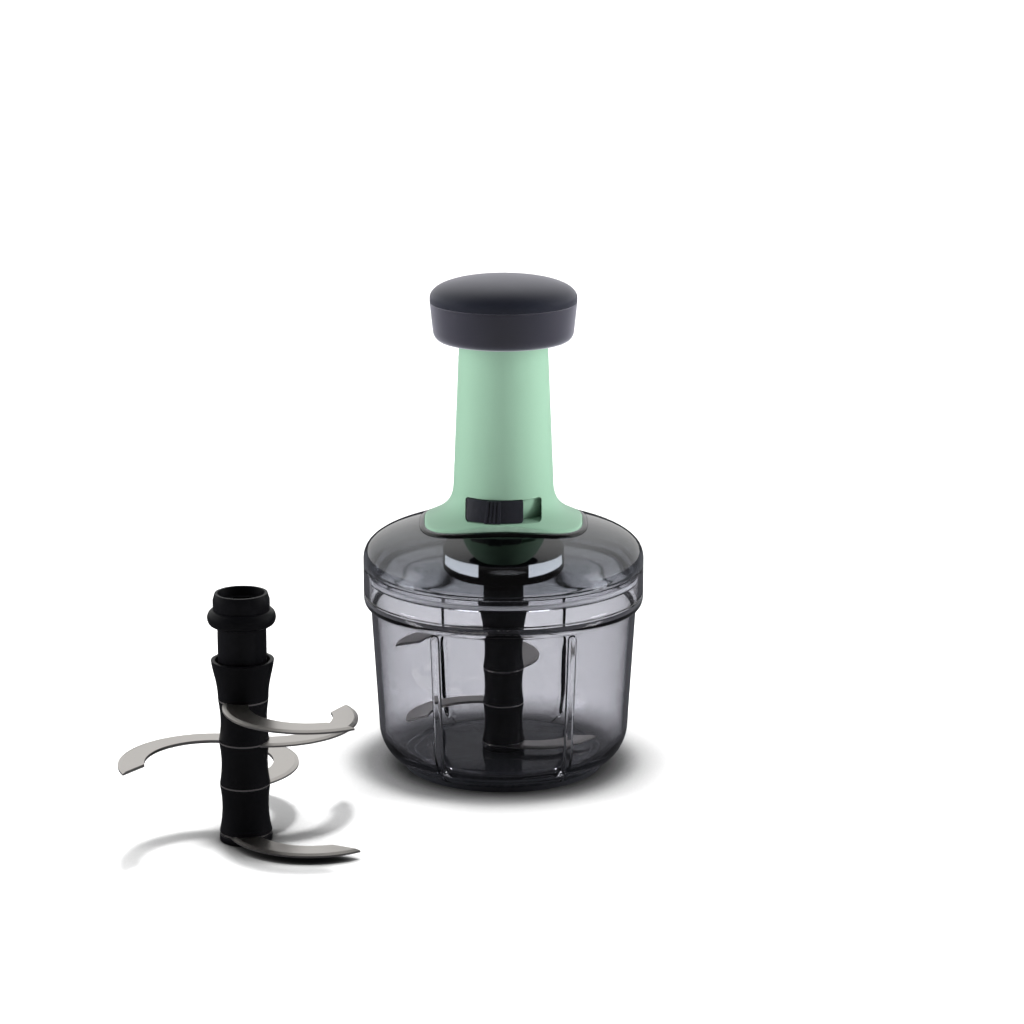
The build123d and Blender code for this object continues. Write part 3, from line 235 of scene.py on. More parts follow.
def clear_plastic(name, tint, density, roughness, rubbed, stops, shade, ior=1.5):
    """Clear plastic: its body absorbs light, and light passes to what is inside.

    Its faces are tinted by height, with a colour at each stop of (level, colour); on the lid this
    tint is painted shade.
    """
    finish, tree, shader = new_finish(name)
    link = tree.links.new
    marks = use_group(tree, MARKS, Amount=1.0, Smudge_Scale=30.0)
    grain = use_group(tree, GRAIN, Grain_Scale=900.0, Grain_Height=0.02, Wave_Height=0.12)
    link(blend_value(tree, marks.outputs["Mask"], roughness, rubbed), shader.inputs["Roughness"])
    link(grain.outputs["Normal"], shader.inputs["Normal"])
    shader.inputs["Transmission Weight"].default_value = 1.0
    shader.inputs["IOR"].default_value = ior
    shader.inputs["Specular IOR Level"].default_value = 0.4
    body = put(tree, "ShaderNodeVolumeAbsorption", Color=(*tint, 1.0), Density=density)
    ray = put(tree, "ShaderNodeLightPath")
    passing = put(tree, "ShaderNodeBsdfTransparent", Color=(shade, shade, shade, 1.0))
    either = put(tree, "ShaderNodeMixShader")
    lowest, highest = stops[0][0], stops[-1][0]
    place = put(tree, "ShaderNodeTexCoord")
    axes = put(tree, "ShaderNodeSeparateXYZ")
    climb = put(tree, "ShaderNodeMapRange", From_Min=lowest, From_Max=highest)
    # Colour by height; on the lid it is painted shade.
    tint_by_height = put(tree, "ShaderNodeValToRGB")
    for level, _ in stops[1:-1]:
        tint_by_height.color_ramp.elements.new((level - lowest) / (highest - lowest))
    for stop, (_, colour) in zip(tint_by_height.color_ramp.elements, stops):
        stop.color = (*colour, 1.0)
    link(place.outputs["Object"], axes.inputs["Vector"])
    link(axes.outputs["Z"], climb.inputs["Value"])
    link(climb.outputs["Result"], tint_by_height.inputs["Fac"])
    link(tint_by_height.outputs["Color"], shader.inputs["Base Color"])
    result = tree.nodes["Material Output"]
    link(ray.outputs["Is Shadow Ray"], either.inputs["Fac"])
    link(shader.outputs["BSDF"], either.inputs[1])
    link(passing.outputs["BSDF"], either.inputs[2])
    link(either.outputs["Shader"], result.inputs["Surface"])
    link(body.outputs["Volume"], result.inputs["Volume"])
    return finish


def steel(name, colour, roughness, streaked):
    """Brushed steel, its lines along X."""
    finish, tree, shader = new_finish(name)
    link = tree.links.new
    place = put(tree, "ShaderNodeTexCoord")
    spread = put(tree, "ShaderNodeMapping")
    spread.inputs["Scale"].default_value = (60.0, 2600.0, 2600.0)
    lines = put(tree, "ShaderNodeTexNoise", Scale=1.0, Detail=3.0)
    bump = put(tree, "ShaderNodeBump", Strength=0.12, Distance=0.00004)
    link(place.outputs["Object"], spread.inputs["Vector"])
    link(spread.outputs["Vector"], lines.inputs["Vector"])
    link(lines.outputs["Fac"], bump.inputs["Height"])
    link(bump.outputs["Normal"], shader.inputs["Normal"])
    darker = tuple(0.86 * channel for channel in colour)
    link(blend_colour(tree, lines.outputs["Fac"], darker, colour), shader.inputs["Base Color"])
    link(blend_value(tree, lines.outputs["Fac"], roughness, streaked), shader.inputs["Roughness"])
    shader.inputs["Metallic"].default_value = 1.0
    return finish


# The mint's pale edge colour is wear and a painted highlight.
MINT = plastic("mint_plastic", (0.225, 0.39, 0.28), (0.255, 0.425, 0.31), 0.5, 0.36,
               worn_and_highlit_edge=(0.6, 0.82, 0.68), sheen=0.06)
CAP = plastic("slate_cap", (0.010, 0.011, 0.018), (0.013, 0.015, 0.023), 0.4, 0.3,
              specular=0.22, sheen=0.25)
SKIRT = plastic("slate_skirt", (0.014, 0.014, 0.025), (0.019, 0.018, 0.031), 0.42, 0.34,
                specular=0.85, sheen=0.75)
SLIDER = plastic("slate_slider", (0.013, 0.014, 0.02), (0.018, 0.019, 0.026), 0.42, 0.3,
                 specular=0.6)
BLACK = plastic("black_plastic", (0.002, 0.002, 0.0025), (0.004, 0.004, 0.005), 0.4, 0.3,
                grain_height=0.08, specular=0.1)
NYLON = plastic("nylon", (0.7, 0.7, 0.66), (0.78, 0.78, 0.74), 0.5, 0.4)
# One rubber in lit and shaded copies: the top is painted light and the side painted dark.
RUBBER_PAINTED_LIT_TOP = plastic("base_rubber", (0.2, 0.215, 0.245), (0.24, 0.255, 0.29), 0.75, 0.6)
RUBBER_PAINTED_SHADED_SIDE = plastic("base_rubber_painted_shaded_side", (0.016, 0.017, 0.021), (0.022, 0.024, 0.03), 0.6, 0.45)
SILICONE = plastic("silicone", (0.62, 0.63, 0.66), (0.7, 0.71, 0.73), 0.55, 0.45)
# The bowl's faces are lighter above its collar than below it.
BOWL_CLEAR = clear_plastic("clear_smoke", (0.50, 0.50, 0.56), 20.0, 0.02, 0.08,
                           stops=((0.076, (0.53, 0.53, 0.555)), (0.083, (0.62, 0.62, 0.645))),
                           shade=0.62, ior=1.38)
# Painted shade: the lid's faces are nearly untinted at its foot and darken up to the crown.
LID_CLEAR = clear_plastic("lid_smoke", (0.22, 0.235, 0.27), 150.0, 0.04, 0.12, shade=0.85,
                          stops=((0.0945, (0.95, 0.95, 0.97)), (0.0985, (0.3, 0.31, 0.335)),
                                 (0.106, (0.21, 0.22, 0.235)), (0.115, (0.14, 0.15, 0.155))))
# The window panes glow by emission: painted light, though no lamp is there.
GLOWING_PANE = plastic("glowing_frosted_window", (0.93, 0.94, 0.95), (0.97, 0.97, 0.98), 0.3, 0.2,
               emission=3.2)
BLADE = steel("blade_steel", (0.60, 0.575, 0.545), 0.28, 0.42)
STEEL = steel("polished_steel", (0.66, 0.66, 0.66), 0.15, 0.3)

SHARED = ("hub_foot", "hub_spacer_1", "hub_spacer_2", "hub_spacer_3", "hub_sleeve", "hub_head",
          "hub_core")
BLADES = ("blade_1", "blade_2", "blade_3", "blade_4")
FINISHES = [
    (BOWL_CLEAR, ["bowl"]),
    (LID_CLEAR, ["lid"]),
    (GLOWING_PANE, ["cover_windows"]),
    (MINT, ["tower_housing"]),
    (CAP, ["knob_cap"]),
    (SKIRT, ["knob_skirt"]),
    (SLIDER, ["lock_slider", "lock_retainer"]),
    (BLACK, ["drive_cover", "plunger_tube", "shaft_cap", "ratchet_driver",
             "output_coupling", *SHARED, *(f"spare_{n}" for n in SHARED)]),
    (NYLON, ["guide_bush", "shaft_bearing", "drive_nut", "pin_bush", "spare_pin_bush"]),
    (RUBBER_PAINTED_LIT_TOP, ["non_slip_base"]),
    (SILICONE, ["lid_gasket"]),
    (BLADE, [*BLADES, *(f"spare_{n}" for n in BLADES)]),
    (STEEL, ["centre_pin", "tower_screws", "knob_screws", "return_spring", "spiral_shaft",
             "shaft_circlip", "ratchet_spring", "coupling_screw"]),
]
for finish, names in FINISHES:
    for name in names:
        for material_slot in nodes[name].material_slots:
            material_slot.material = finish

# ---- Modelling helpers ----


def deselect():
    bpy.ops.object.select_all(action="DESELECT")


def curve_at(start, leave, arrive, end, t):
    """Point at a share t of a curve that leaves the start and reaches the end by its handles."""
    weights = ((1 - t) ** 3, 3 * t * (1 - t) ** 2, 3 * t * t * (1 - t), t ** 3)
    corners = (start, leave, arrive, end)
    return tuple(sum(w * c[k] for w, c in zip(weights, corners)) for k in (0, 1))


def curve_points(start, leave, arrive, end, steps):
    """Points from the start of such a curve to its end."""
    return [curve_at(start, leave, arrive, end, step / steps) for step in range(steps + 1)]


def curve_share(start, leave, arrive, end, radius):
    """How far along such a curve its radius comes to this value."""
    low, high = 0.0, 1.0
    rising = end[0] > start[0]
    for _ in range(40):
        middle = (low + high) / 2
        reached = curve_at(start, leave, arrive, end, middle)[0]
        if (reached < radius) == rising:
            low = middle
        else:
            high = middle
    return (low + high) / 2


def close_up():
    """Merge the seam and the poles, and turn every face outwards."""
    bpy.ops.mesh.select_all(action="SELECT")
    bpy.ops.mesh.remove_doubles(threshold=0.000002)
    bpy.ops.mesh.normals_make_consistent(inside=False)
    bpy.ops.object.mode_set(mode="OBJECT")


def round_edges(piece, width, sharp=28.0):
    """Bevel every edge sharper than this angle."""
    bpy.ops.object.modifier_add(type="BEVEL")
    bevel = piece.modifiers[-1]
    bevel.width = width
    bevel.segments = 3
    bevel.limit_method = "ANGLE"
    bevel.angle_limit = math.radians(sharp)
    bpy.ops.object.modifier_apply(modifier=bevel.name)


def fit_piece(piece, body, finish, slot, *stands_for):
    """Shade the piece, give it its finish and let it ride and stand for its nodes."""
    deselect()
    piece.select_set(True)
    bpy.context.view_layer.objects.active = piece
    bpy.ops.object.shade_smooth_by_angle(angle=math.radians(32.0))
    piece.data.materials.clear()
    piece.data.materials.append(finish)
    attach(piece, body)
    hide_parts(*stands_for)


def turned(name, profile, edge, centre=(0.0, 0.0), steps=112):
    """Turned piece: a closed profile of (radius, level), extruded point by point and spun."""
    deselect()
    bpy.ops.mesh.primitive_plane_add(size=0.01, location=(0, 0, 0))
    piece = bpy.context.active_object
    piece.name = piece.data.name = name
    bpy.ops.object.mode_set(mode="EDIT")
    bpy.ops.mesh.select_all(action="SELECT")
    bpy.ops.mesh.merge(type="CENTER")
    here = (0.0, 0.0)
    for number, (radius, level) in enumerate([*profile, profile[0]]):
        step = (radius - here[0], 0.0, level - here[1])
        if number == 0:
            bpy.ops.transform.translate(value=step)
        else:
            bpy.ops.mesh.extrude_vertices_move(TRANSFORM_OT_translate={"value": step})
        here = (radius, level)
    bpy.ops.mesh.select_all(action="SELECT")
    bpy.ops.mesh.spin(steps=steps, angle=2 * math.pi, center=(0, 0, 0), axis=(0, 0, 1))
    close_up()
    if edge:
        round_edges(piece, edge)
    bpy.ops.object.mode_set(mode="EDIT")
    bpy.ops.mesh.select_all(action="SELECT")
    bpy.ops.transform.translate(value=(*centre, 0.0))
    bpy.ops.object.mode_set(mode="OBJECT")
    return piece


def ringed(name, rings, count=144):
    """Closed piece built ring by ring, each ring placed by its radius and level at an angle."""
    deselect()
    bpy.ops.mesh.primitive_circle_add(vertices=count, radius=0.05, location=(0, 0, 0))
    piece = bpy.context.active_object
    piece.name = piece.data.name = name
    bpy.ops.object.mode_set(mode="EDIT")
    bpy.ops.mesh.select_all(action="SELECT")
    for number, ring in enumerate([*rings, rings[0]]):
        if number:
            bpy.ops.mesh.extrude_edges_move()
        mesh = bmesh.from_edit_mesh(piece.data)
        for vertex in mesh.verts:
            if vertex.select:
                angle = math.atan2(vertex.co.y, vertex.co.x)
                radius, level = ring(angle)
                vertex.co = (radius * math.cos(angle), radius * math.sin(angle), level)
        bmesh.update_edit_mesh(piece.data)
    close_up()
    return piece


def carve(piece, cutter):
    """Cut one piece with another, which is then removed."""
    deselect()
    piece.select_set(True)
    bpy.context.view_layer.objects.active = piece
    bpy.ops.object.modifier_add(type="BOOLEAN")
    cut = piece.modifiers[-1]
    cut.operation = "DIFFERENCE"
    cut.object = cutter
    bpy.ops.object.modifier_apply(modifier=cut.name)
    bpy.data.objects.remove(cutter, do_unlink=True)


def block(name, low, high, corner=0.0):
    """Rounded block between two corners, its mesh in place."""
    deselect()
    size = [b - a for a, b in zip(low, high)]
    bpy.ops.mesh.primitive_cube_add(size=1.0, location=(0, 0, 0))
    piece = bpy.context.active_object
    piece.name = piece.data.name = name
    bpy.ops.object.mode_set(mode="EDIT")
    bpy.ops.mesh.select_all(action="SELECT")
    bpy.ops.transform.resize(value=size)
    bpy.ops.transform.translate(value=[(a + b) / 2 for a, b in zip(low, high)])
    if corner:
        mesh = bmesh.from_edit_mesh(piece.data)
        for edge in mesh.edges:
            a, b = (vertex.co for vertex in edge.verts)
            edge.select_set(abs((a - b).normalized().y) > 0.99)
        bpy.ops.mesh.bevel(offset=corner, segments=6, affect="EDGES")
    bpy.ops.object.mode_set(mode="OBJECT")
    return piece


# ---- Sizes read from the frame, and the named sizes of the mouldings ----
lid_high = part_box("lid")[1]
tower_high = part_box("tower_housing")[1]
cap_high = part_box("knob_cap")[1]
skirt_low, skirt_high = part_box("knob_skirt")
base_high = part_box("non_slip_base")[1]
lid_radius = lid_high.x
hub_top = lid_high.z
crown = hub_top - 2.0 * MM
tower_top = tower_high.z
waist = crown + 15.5 * MM
rim = crown - 19.4 * MM
lid_seat = rim - 3.5 * MM
lid_skirt_foot = lid_seat - 5.7 * MM
LID_WALL = 2.5 * MM
SEAT_GAP = 0.1 * MM
LIP_GAP = 0.3 * MM
LIP_WIDTH = 2.3 * MM
LIP_HEIGHT = 1.0 * MM
SOFT_EDGE = 0.35 * MM
CROWN_RADIUS = 28.0 * MM
HUB_RADIUS = 12.0 * MM
BEARING_RADIUS = 9.0 * MM
FOOT_HALF_X = tower_high.x
FOOT_HALF_Y = tower_high.y
FOOT_POWER = 3.2
WAIST_RADIUS = 23.1 * MM
TOP_RADIUS = 20.15 * MM

DOME = (
    (lid_radius, rim),
    (lid_radius, rim + 10.0 * MM),
    (54.0 * MM, crown - 5.72 * MM),
    (CROWN_RADIUS, crown),
)
FLARE = (
    (WAIST_RADIUS, waist),
    (WAIST_RADIUS + 0.6 * MM, crown + 5.5 * MM),
    (WAIST_RADIUS + 6.4 * MM, crown + 3.1 * MM),
    (WAIST_RADIUS + 18.9 * MM, crown - 2.5 * MM),
)


def foot_radius(angle, margin=0.0):
    """Distance from the axis to the tower foot's squarish outline, grown by a margin."""
    across = abs(math.cos(angle)) / (FOOT_HALF_X + margin)
    along = abs(math.sin(angle)) / (FOOT_HALF_Y + margin)
    return (across ** FOOT_POWER + along ** FOOT_POWER) ** (-1.0 / FOOT_POWER)


def dome_level(radius):
    """Level of the lid's outer face at this radius."""
    if radius <= CROWN_RADIUS:
        return crown
    return curve_at(*DOME, curve_share(*DOME, radius))[1]


def flare_level(radius):
    """Level of the tower's flared face at this radius."""
    return curve_at(*FLARE, curve_share(*FLARE, radius))[1]


def level_ring(radius, level):
    """Plain round ring."""
    return lambda angle: (radius, level)


# ---- Tower: a tapered tube that flares into a squarish foot with a soft edge ----


def flare_ring(share):
    """Ring a share of the way down the flare, from the waist to the foot's edge."""
    def place(angle):
        reach = curve_share(*FLARE, foot_radius(angle) - 2 * SOFT_EDGE)
        return curve_at(*FLARE, share * reach)
    return place


def foot_ring(inset, drop):
    """Ring on the foot's soft edge: in from its outline, and below the flare's face."""
    def place(angle):
        radius = foot_radius(angle) - inset
        return radius, flare_level(radius) - drop
    return place


def under_ring(share):
    """Ring under the foot, on the dome, from the outline in to the crown."""
    def place(angle):
        radius = foot_radius(angle) * (1 - share) + CROWN_RADIUS * share
        return radius, dome_level(radius) + SEAT_GAP
    return place


def tower():
    bore_foot, bore_top = 18.6 * MM, 17.5 * MM
    chamfer = 0.4 * MM
    rings = [level_ring(bore_top, tower_top), level_ring(TOP_RADIUS - 2 * chamfer, tower_top),
             level_ring(TOP_RADIUS - chamfer / 2, tower_top - chamfer / 2),
             level_ring(TOP_RADIUS, tower_top - 2 * chamfer)]
    straight_rings = 24
    for step in range(1, straight_rings):
        share = step / straight_rings
        rings.append(level_ring(TOP_RADIUS + share * (WAIST_RADIUS - TOP_RADIUS),
                                tower_top + share * (waist - tower_top)))
    flare_rings = 26
    rings += [flare_ring(step / flare_rings) for step in range(flare_rings + 1)]
    rings += [foot_ring(1.1 * SOFT_EDGE, 0.25 * SOFT_EDGE),
              foot_ring(0.4 * SOFT_EDGE, 0.7 * SOFT_EDGE), foot_ring(0.0, 1.4 * SOFT_EDGE)]
    rings += [under_ring(step / 4) for step in range(5)]
    rings += [level_ring(bore_foot, crown + SEAT_GAP), level_ring(bore_foot, waist),
              level_ring(bore_top, tower_top - 14.0 * MM)]
    piece = ringed("tower_shell", rings)

    slot_low, slot_high = crown + 3.4 * MM, crown + 13.2 * MM
    half_width, floor_radius, corner = 17.4 * MM, 20.9 * MM, 1.6 * MM
    slot = block("slot", (-half_width, -FOOT_HALF_X, slot_low), (half_width, 0.0, slot_high),
                 corner)
    core = turned("core", [(0.0, crown), (floor_radius, crown), (floor_radius, waist),
                           (0.0, waist)], 0.0)
    carve(slot, core)
    carve(piece, slot)
    tongue_reach, tongue_half = 5.6 * MM, 2.5 * MM
    middle = (slot_low + slot_high) / 2
    carve(piece, block("tongue_way", (-tongue_reach, -floor_radius - MM, middle - tongue_half),
                       (tongue_reach, -bore_top + 3 * MM, middle + tongue_half)))
    fit_piece(piece, "lid", MINT, "mint_plastic", "tower_housing")


# ---- Knob: a shallow domed cap over a tapered skirt, with a fine seam between them ----


def knob():
    radius = skirt_high.x
    top = cap_high.z
    seam = top - 11.6 * MM
    wall, edge_height = 2.4 * MM, 2.0 * MM
    side_share, top_share = 0.67, 0.6

    def shell(inset):
        """Cap's curve from its edge to its top, moved inwards."""
        start = (radius - inset, seam + edge_height)
        end = (0.0, top - inset)
        return start, (start[0], start[1] + side_share * (end[1] - start[1])), (
            top_share * start[0], end[1]), end

    outer = curve_points(*shell(0.0), 40)
    inner = curve_points(*shell(wall), 16)
    profile = [(radius, seam), *outer, *reversed(inner), (radius - wall, seam)]
    cap = turned("knob_cap_shell", profile, 0.35 * MM, steps=144)
    fit_piece(cap, "plunger", CAP, "slate_cap", "knob_cap")

    foot = skirt_low.z
    waist_radius = radius - 1.3 * MM
    corner_height, foot_reach, mouth = 5.2 * MM, 27.5 * MM, 21.05 * MM
    floor_height = 2.6 * MM
    tongue = radius - wall - SEAT_GAP
    corner = curve_points((waist_radius, foot + corner_height),
                          (waist_radius - 0.3 * MM, foot + 2.1 * MM),
                          (waist_radius - 1.6 * MM, foot), (foot_reach, foot), 14)
    profile = [(tongue, seam - SEAT_GAP), (radius, seam - SEAT_GAP), *corner, (mouth, foot),
               (mouth, foot + floor_height), (foot_reach, foot + floor_height),
               (waist_radius - wall, foot + corner_height + wall),
               (tongue - wall, skirt_high.z), (tongue, skirt_high.z)]
    skirt = turned("knob_skirt_ring", profile, 0.3 * MM, steps=144)
    fit_piece(skirt, "plunger", SKIRT, "slate_skirt", "knob_skirt")


# ---- Lid: a clear dome with a raised lip round the tower's foot ----


def lip_ring(margin, lift):
    """Ring on the dome round the tower's foot: out from its outline, and above the dome."""
    def place(angle):
        radius = foot_radius(angle, margin)
        return radius, dome_level(radius) + lift
    return place


def dome_ring(share):
    """Ring a share of the way from the lip's foot down the dome to the rim."""
    def place(angle):
        start = curve_share(*DOME, foot_radius(angle, LIP_GAP + LIP_WIDTH))
        return curve_at(*DOME, start * (1 - share))
    return place


def lid_dome():
    skirt_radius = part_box("lid_gasket")[1].x - 0.35 * MM
    skirt_wall = 2.6 * MM
    gasket_low, gasket_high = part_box("lid_gasket")
    gasket_level = (gasket_low.z + gasket_high.z) / 2
    gasket_reach = (gasket_high.z - gasket_low.z) / 2 + SEAT_GAP / 2
    plate = crown - LID_WALL
    bearing_foot = hub_top - 7.0 * MM
    lip_soft = 0.3 * MM
    rings = [level_ring(BEARING_RADIUS, hub_top), level_ring(HUB_RADIUS - lip_soft, hub_top),
             level_ring(HUB_RADIUS, hub_top - lip_soft), level_ring(HUB_RADIUS, crown),
             level_ring(CROWN_RADIUS, crown)]
    rings += [lip_ring(LIP_GAP, 0.0), lip_ring(LIP_GAP, LIP_HEIGHT - lip_soft),
              lip_ring(LIP_GAP + lip_soft / 3, LIP_HEIGHT - lip_soft / 3),
              lip_ring(LIP_GAP + lip_soft, LIP_HEIGHT),
              lip_ring(LIP_GAP + LIP_WIDTH - 2 * lip_soft, LIP_HEIGHT),
              lip_ring(LIP_GAP + LIP_WIDTH - lip_soft, LIP_HEIGHT - lip_soft / 2),
              lip_ring(LIP_GAP + LIP_WIDTH - lip_soft / 4, LIP_HEIGHT / 2)]
    dome_rings = 28
    rings += [dome_ring(step / dome_rings) for step in range(dome_rings + 1)]
    rim_soft = 0.5 * MM
    rings += [level_ring(lid_radius, lid_seat + rim_soft),
              level_ring(lid_radius - rim_soft / 3, lid_seat + rim_soft / 3),
              level_ring(lid_radius - rim_soft, lid_seat), level_ring(skirt_radius, lid_seat)]
    for step in range(7):
        turn = math.pi * step / 6
        rings.append(level_ring(skirt_radius - gasket_reach * math.sin(turn) * 1.6,
                                gasket_level + gasket_reach * math.cos(turn)))
    rings += [level_ring(skirt_radius, lid_skirt_foot + lip_soft),
              level_ring(skirt_radius - lip_soft, lid_skirt_foot),
              level_ring(skirt_radius - skirt_wall, lid_skirt_foot),
              level_ring(skirt_radius - skirt_wall, rim - LID_WALL)]
    inner = [(radius - LID_WALL * bool(index < 2), level - LID_WALL)
             for index, (radius, level) in enumerate(DOME)]
    rings += [level_ring(*point) for point in curve_points(*inner, 22)]
    rings += [level_ring(HUB_RADIUS, plate), level_ring(HUB_RADIUS, bearing_foot),
              level_ring(BEARING_RADIUS, bearing_foot)]
    piece = ringed("lid_dome", rings, count=168)
    fit_piece(piece, "lid", LID_CLEAR, "lid_smoke", "lid")


# ---- Drive cover: a black dish with a rounded shoulder and four windows ----


def sector(name, inner, outer, low, high, start, span):
    """Part of a ring between two radii and two levels, clockwise over this span of degrees."""
    deselect()
    bpy.ops.mesh.primitive_plane_add(size=1.0, location=(0, 0, 0))
    piece = bpy.context.active_object
    piece.name = piece.data.name = name
    bpy.ops.object.mode_set(mode="EDIT")
    mesh = bmesh.from_edit_mesh(piece.data)
    turn = math.radians(start)
    for vertex in mesh.verts:
        radius = outer if vertex.co.x > 0 else inner
        vertex.co = (radius * math.cos(turn), radius * math.sin(turn),
                     high if vertex.co.y > 0 else low)
    bmesh.update_edit_mesh(piece.data)
    bpy.ops.mesh.select_all(action="SELECT")
    bpy.ops.mesh.spin(steps=18, angle=math.radians(span), center=(0, 0, 0), axis=(0, 0, 1))
    close_up()
    return piece


WINDOW_ANGLES = (-142.0, -38.0, 38.0, 142.0)
WINDOW_SPAN = 56.0


def drive_dish():
    low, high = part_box("drive_cover")
    pane_low, pane_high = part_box("cover_windows")
    radius, foot, top = high.x, low.z, high.z
    mouth = 14.8 * MM
    wall, floor = 2.0 * MM, 1.6 * MM
    shoulder = pane_high.z + 1.2 * MM
    neck = 17.0 * MM
    outer = curve_points((radius, shoulder), (radius - 0.6 * MM, shoulder + 4.6 * MM),
                         (neck + 3.0 * MM, top - 6.0 * MM), (neck, top), 22)
    inner = [(r - wall, z - wall * 0.4) for r, z in outer[:-3]] + [(neck - wall, top)]
    profile = [(mouth, foot), (radius, foot), *outer, *reversed(inner),
               (radius - wall, foot + floor), (mouth, foot + floor)]
    piece = turned("drive_dish", profile, 0.25 * MM, steps=144)
    for number, angle in enumerate(WINDOW_ANGLES):
        carve(piece, sector(f"window_{number}", radius - wall - MM, radius + MM,
                            pane_low.z - SEAT_GAP / 2, pane_high.z + SEAT_GAP / 2,
                            angle + WINDOW_SPAN / 2, WINDOW_SPAN))
    fit_piece(piece, "lid", BLACK, "black_plastic", "drive_cover")


# ---- Non-slip base: a rubber disc with a fine ring round its top ----


def rubber_base():
    radius, top = base_high.x, base_high.z
    groove_radius, groove_width, groove_depth = 42.6 * MM, 1.2 * MM, 0.7 * MM
    foot_groove_radius = 38.0 * MM
    profile = [(0.0, top), (groove_radius - groove_width, top),
               (groove_radius - groove_width / 2, top - groove_depth), (groove_radius, top),
               (radius, top), (radius, 0.0), (foot_groove_radius + groove_width, 0.0),
               (foot_groove_radius + groove_width / 2, groove_depth), (foot_groove_radius, 0.0),
               (0.0, 0.0)]
    piece = turned("rubber_base", profile, 0.3 * MM, steps=144)
    fit_piece(piece, "bowl", RUBBER_PAINTED_LIT_TOP, "base_rubber", "non_slip_base")
    # The outer side takes the shaded copy: painted shade.
    piece.data.materials.append(RUBBER_PAINTED_SHADED_SIDE)
    for face in piece.data.polygons:
        if face.center.xy.length > radius - 0.6 * MM:
            face.material_index = 1


# ---- Blade units: waisted black hubs with a thin steel line at each blade ----
SPARE_SCALE = 1.15


def hub(prefix, body, scale):
    """Black pieces of one unit's hub, each on its CAD piece's place."""
    def place(node):
        low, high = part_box(prefix + node)
        return (low.x + high.x) / 2, (low.y + high.y) / 2, low.z, high.z

    centre = place("hub_foot")[:2]
    core = 6.3 * MM * scale
    ring_radius, waist_radius = 9.55 * MM * scale, 8.5 * MM * scale
    overlap = 0.36 * MM * scale
    edge = 0.22 * MM * scale
    foot_radius_here = (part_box(prefix + "hub_foot")[1].x - centre[0])

    low, high = place("hub_foot")[2:]
    profile = [(core, low), (foot_radius_here, low), (foot_radius_here, high), (core, high)]
    piece = turned(prefix + "hub_foot_ring", profile, 0.5 * MM * scale, centre)
    fit_piece(piece, body, BLACK, "black_plastic", prefix + "hub_foot")

    for index in (1, 2, 3):
        low, high = place(f"hub_spacer_{index}")[2:]
        low, high = low - overlap, high + overlap
        start = foot_radius_here if index == 1 else ring_radius
        middle = (low + high) / 2
        side = curve_points((start, low), (waist_radius, low + (middle - low) * 0.7),
                            (waist_radius, high - (middle - low) * 0.7), (ring_radius, high),
                            18)
        piece = turned(prefix + f"hub_waist_{index}", [(core, low), *side, (core, high)], edge,
                       centre)
        fit_piece(piece, body, BLACK, "black_plastic", prefix + f"hub_spacer_{index}")

    low, high = place("hub_sleeve")[2:]
    low -= overlap
    mouth, mouth_wall, mouth_depth = 11.9 * MM * scale, 1.5 * MM * scale, 5.0 * MM * scale
    neck = 9.25 * MM * scale
    side = curve_points((ring_radius, low), (ring_radius, low + 6.7 * MM * scale),
                        (mouth - 0.4 * MM * scale, high - 4.5 * MM * scale), (mouth, high),
                        18)
    profile = [(core, low), *side, (mouth - mouth_wall, high),
               (neck + 0.2 * MM, high - mouth_depth), (core, high - mouth_depth)]
    piece = turned(prefix + "hub_cup", profile, edge, centre)
    fit_piece(piece, body, BLACK, "black_plastic", prefix + "hub_sleeve")

    low, high = place("hub_head")[2:]
    flange_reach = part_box(prefix + "hub_head")[1].x - centre[0]
    flange_high = high - 8.0 * MM * scale
    flange_low = flange_high - 6.0 * MM * scale
    rim_level, rim_outer, rim_bore = high - 1.6 * MM * scale, 9.9 * MM * scale, 8.9 * MM * scale
    collar_radius = 10.7 * MM * scale
    recess_level = rim_level - 3.2 * MM * scale
    neck_outer = 9.2 * MM * scale
    flange = [(flange_reach - (1 - math.cos(turn)) * 2.2 * MM * scale,
               (flange_low + flange_high) / 2 + math.sin(turn) * 3.0 * MM * scale)
              for turn in [math.radians(15.0 * step) for step in range(-6, 7)]]
    profile = [(core, low), (neck_outer, low), (neck_outer, flange_low), *flange,
               (collar_radius, flange_high), (collar_radius, rim_level - 2.6 * MM * scale),
               (rim_outer, rim_level), (rim_bore, rim_level),
               (rim_bore - 0.5 * MM * scale, recess_level), (0.0, recess_level),
               (0.0, flange_low), (core, flange_low)]
    piece = turned(prefix + "hub_collar", profile, 0.45 * MM * scale, centre)
    deselect()
    bpy.ops.mesh.primitive_cylinder_add(vertices=6, radius=5.96 * MM * scale,
                                        depth=8.0 * MM * scale, location=(0, 0, 0),
                                        rotation=(0, 0, math.radians(30.0)))
    socket = bpy.context.active_object
    bpy.ops.object.transform_apply(location=False, rotation=True, scale=True)
    bpy.ops.object.mode_set(mode="EDIT")
    bpy.ops.mesh.select_all(action="SELECT")
    bpy.ops.transform.translate(value=(*centre, recess_level))
    bpy.ops.object.mode_set(mode="OBJECT")
    carve(piece, socket)
    fit_piece(piece, body, BLACK, "black_plastic", prefix + "hub_head")


# ---- Lock slider: the sliding block with a grooved grip, its edges rounded ----


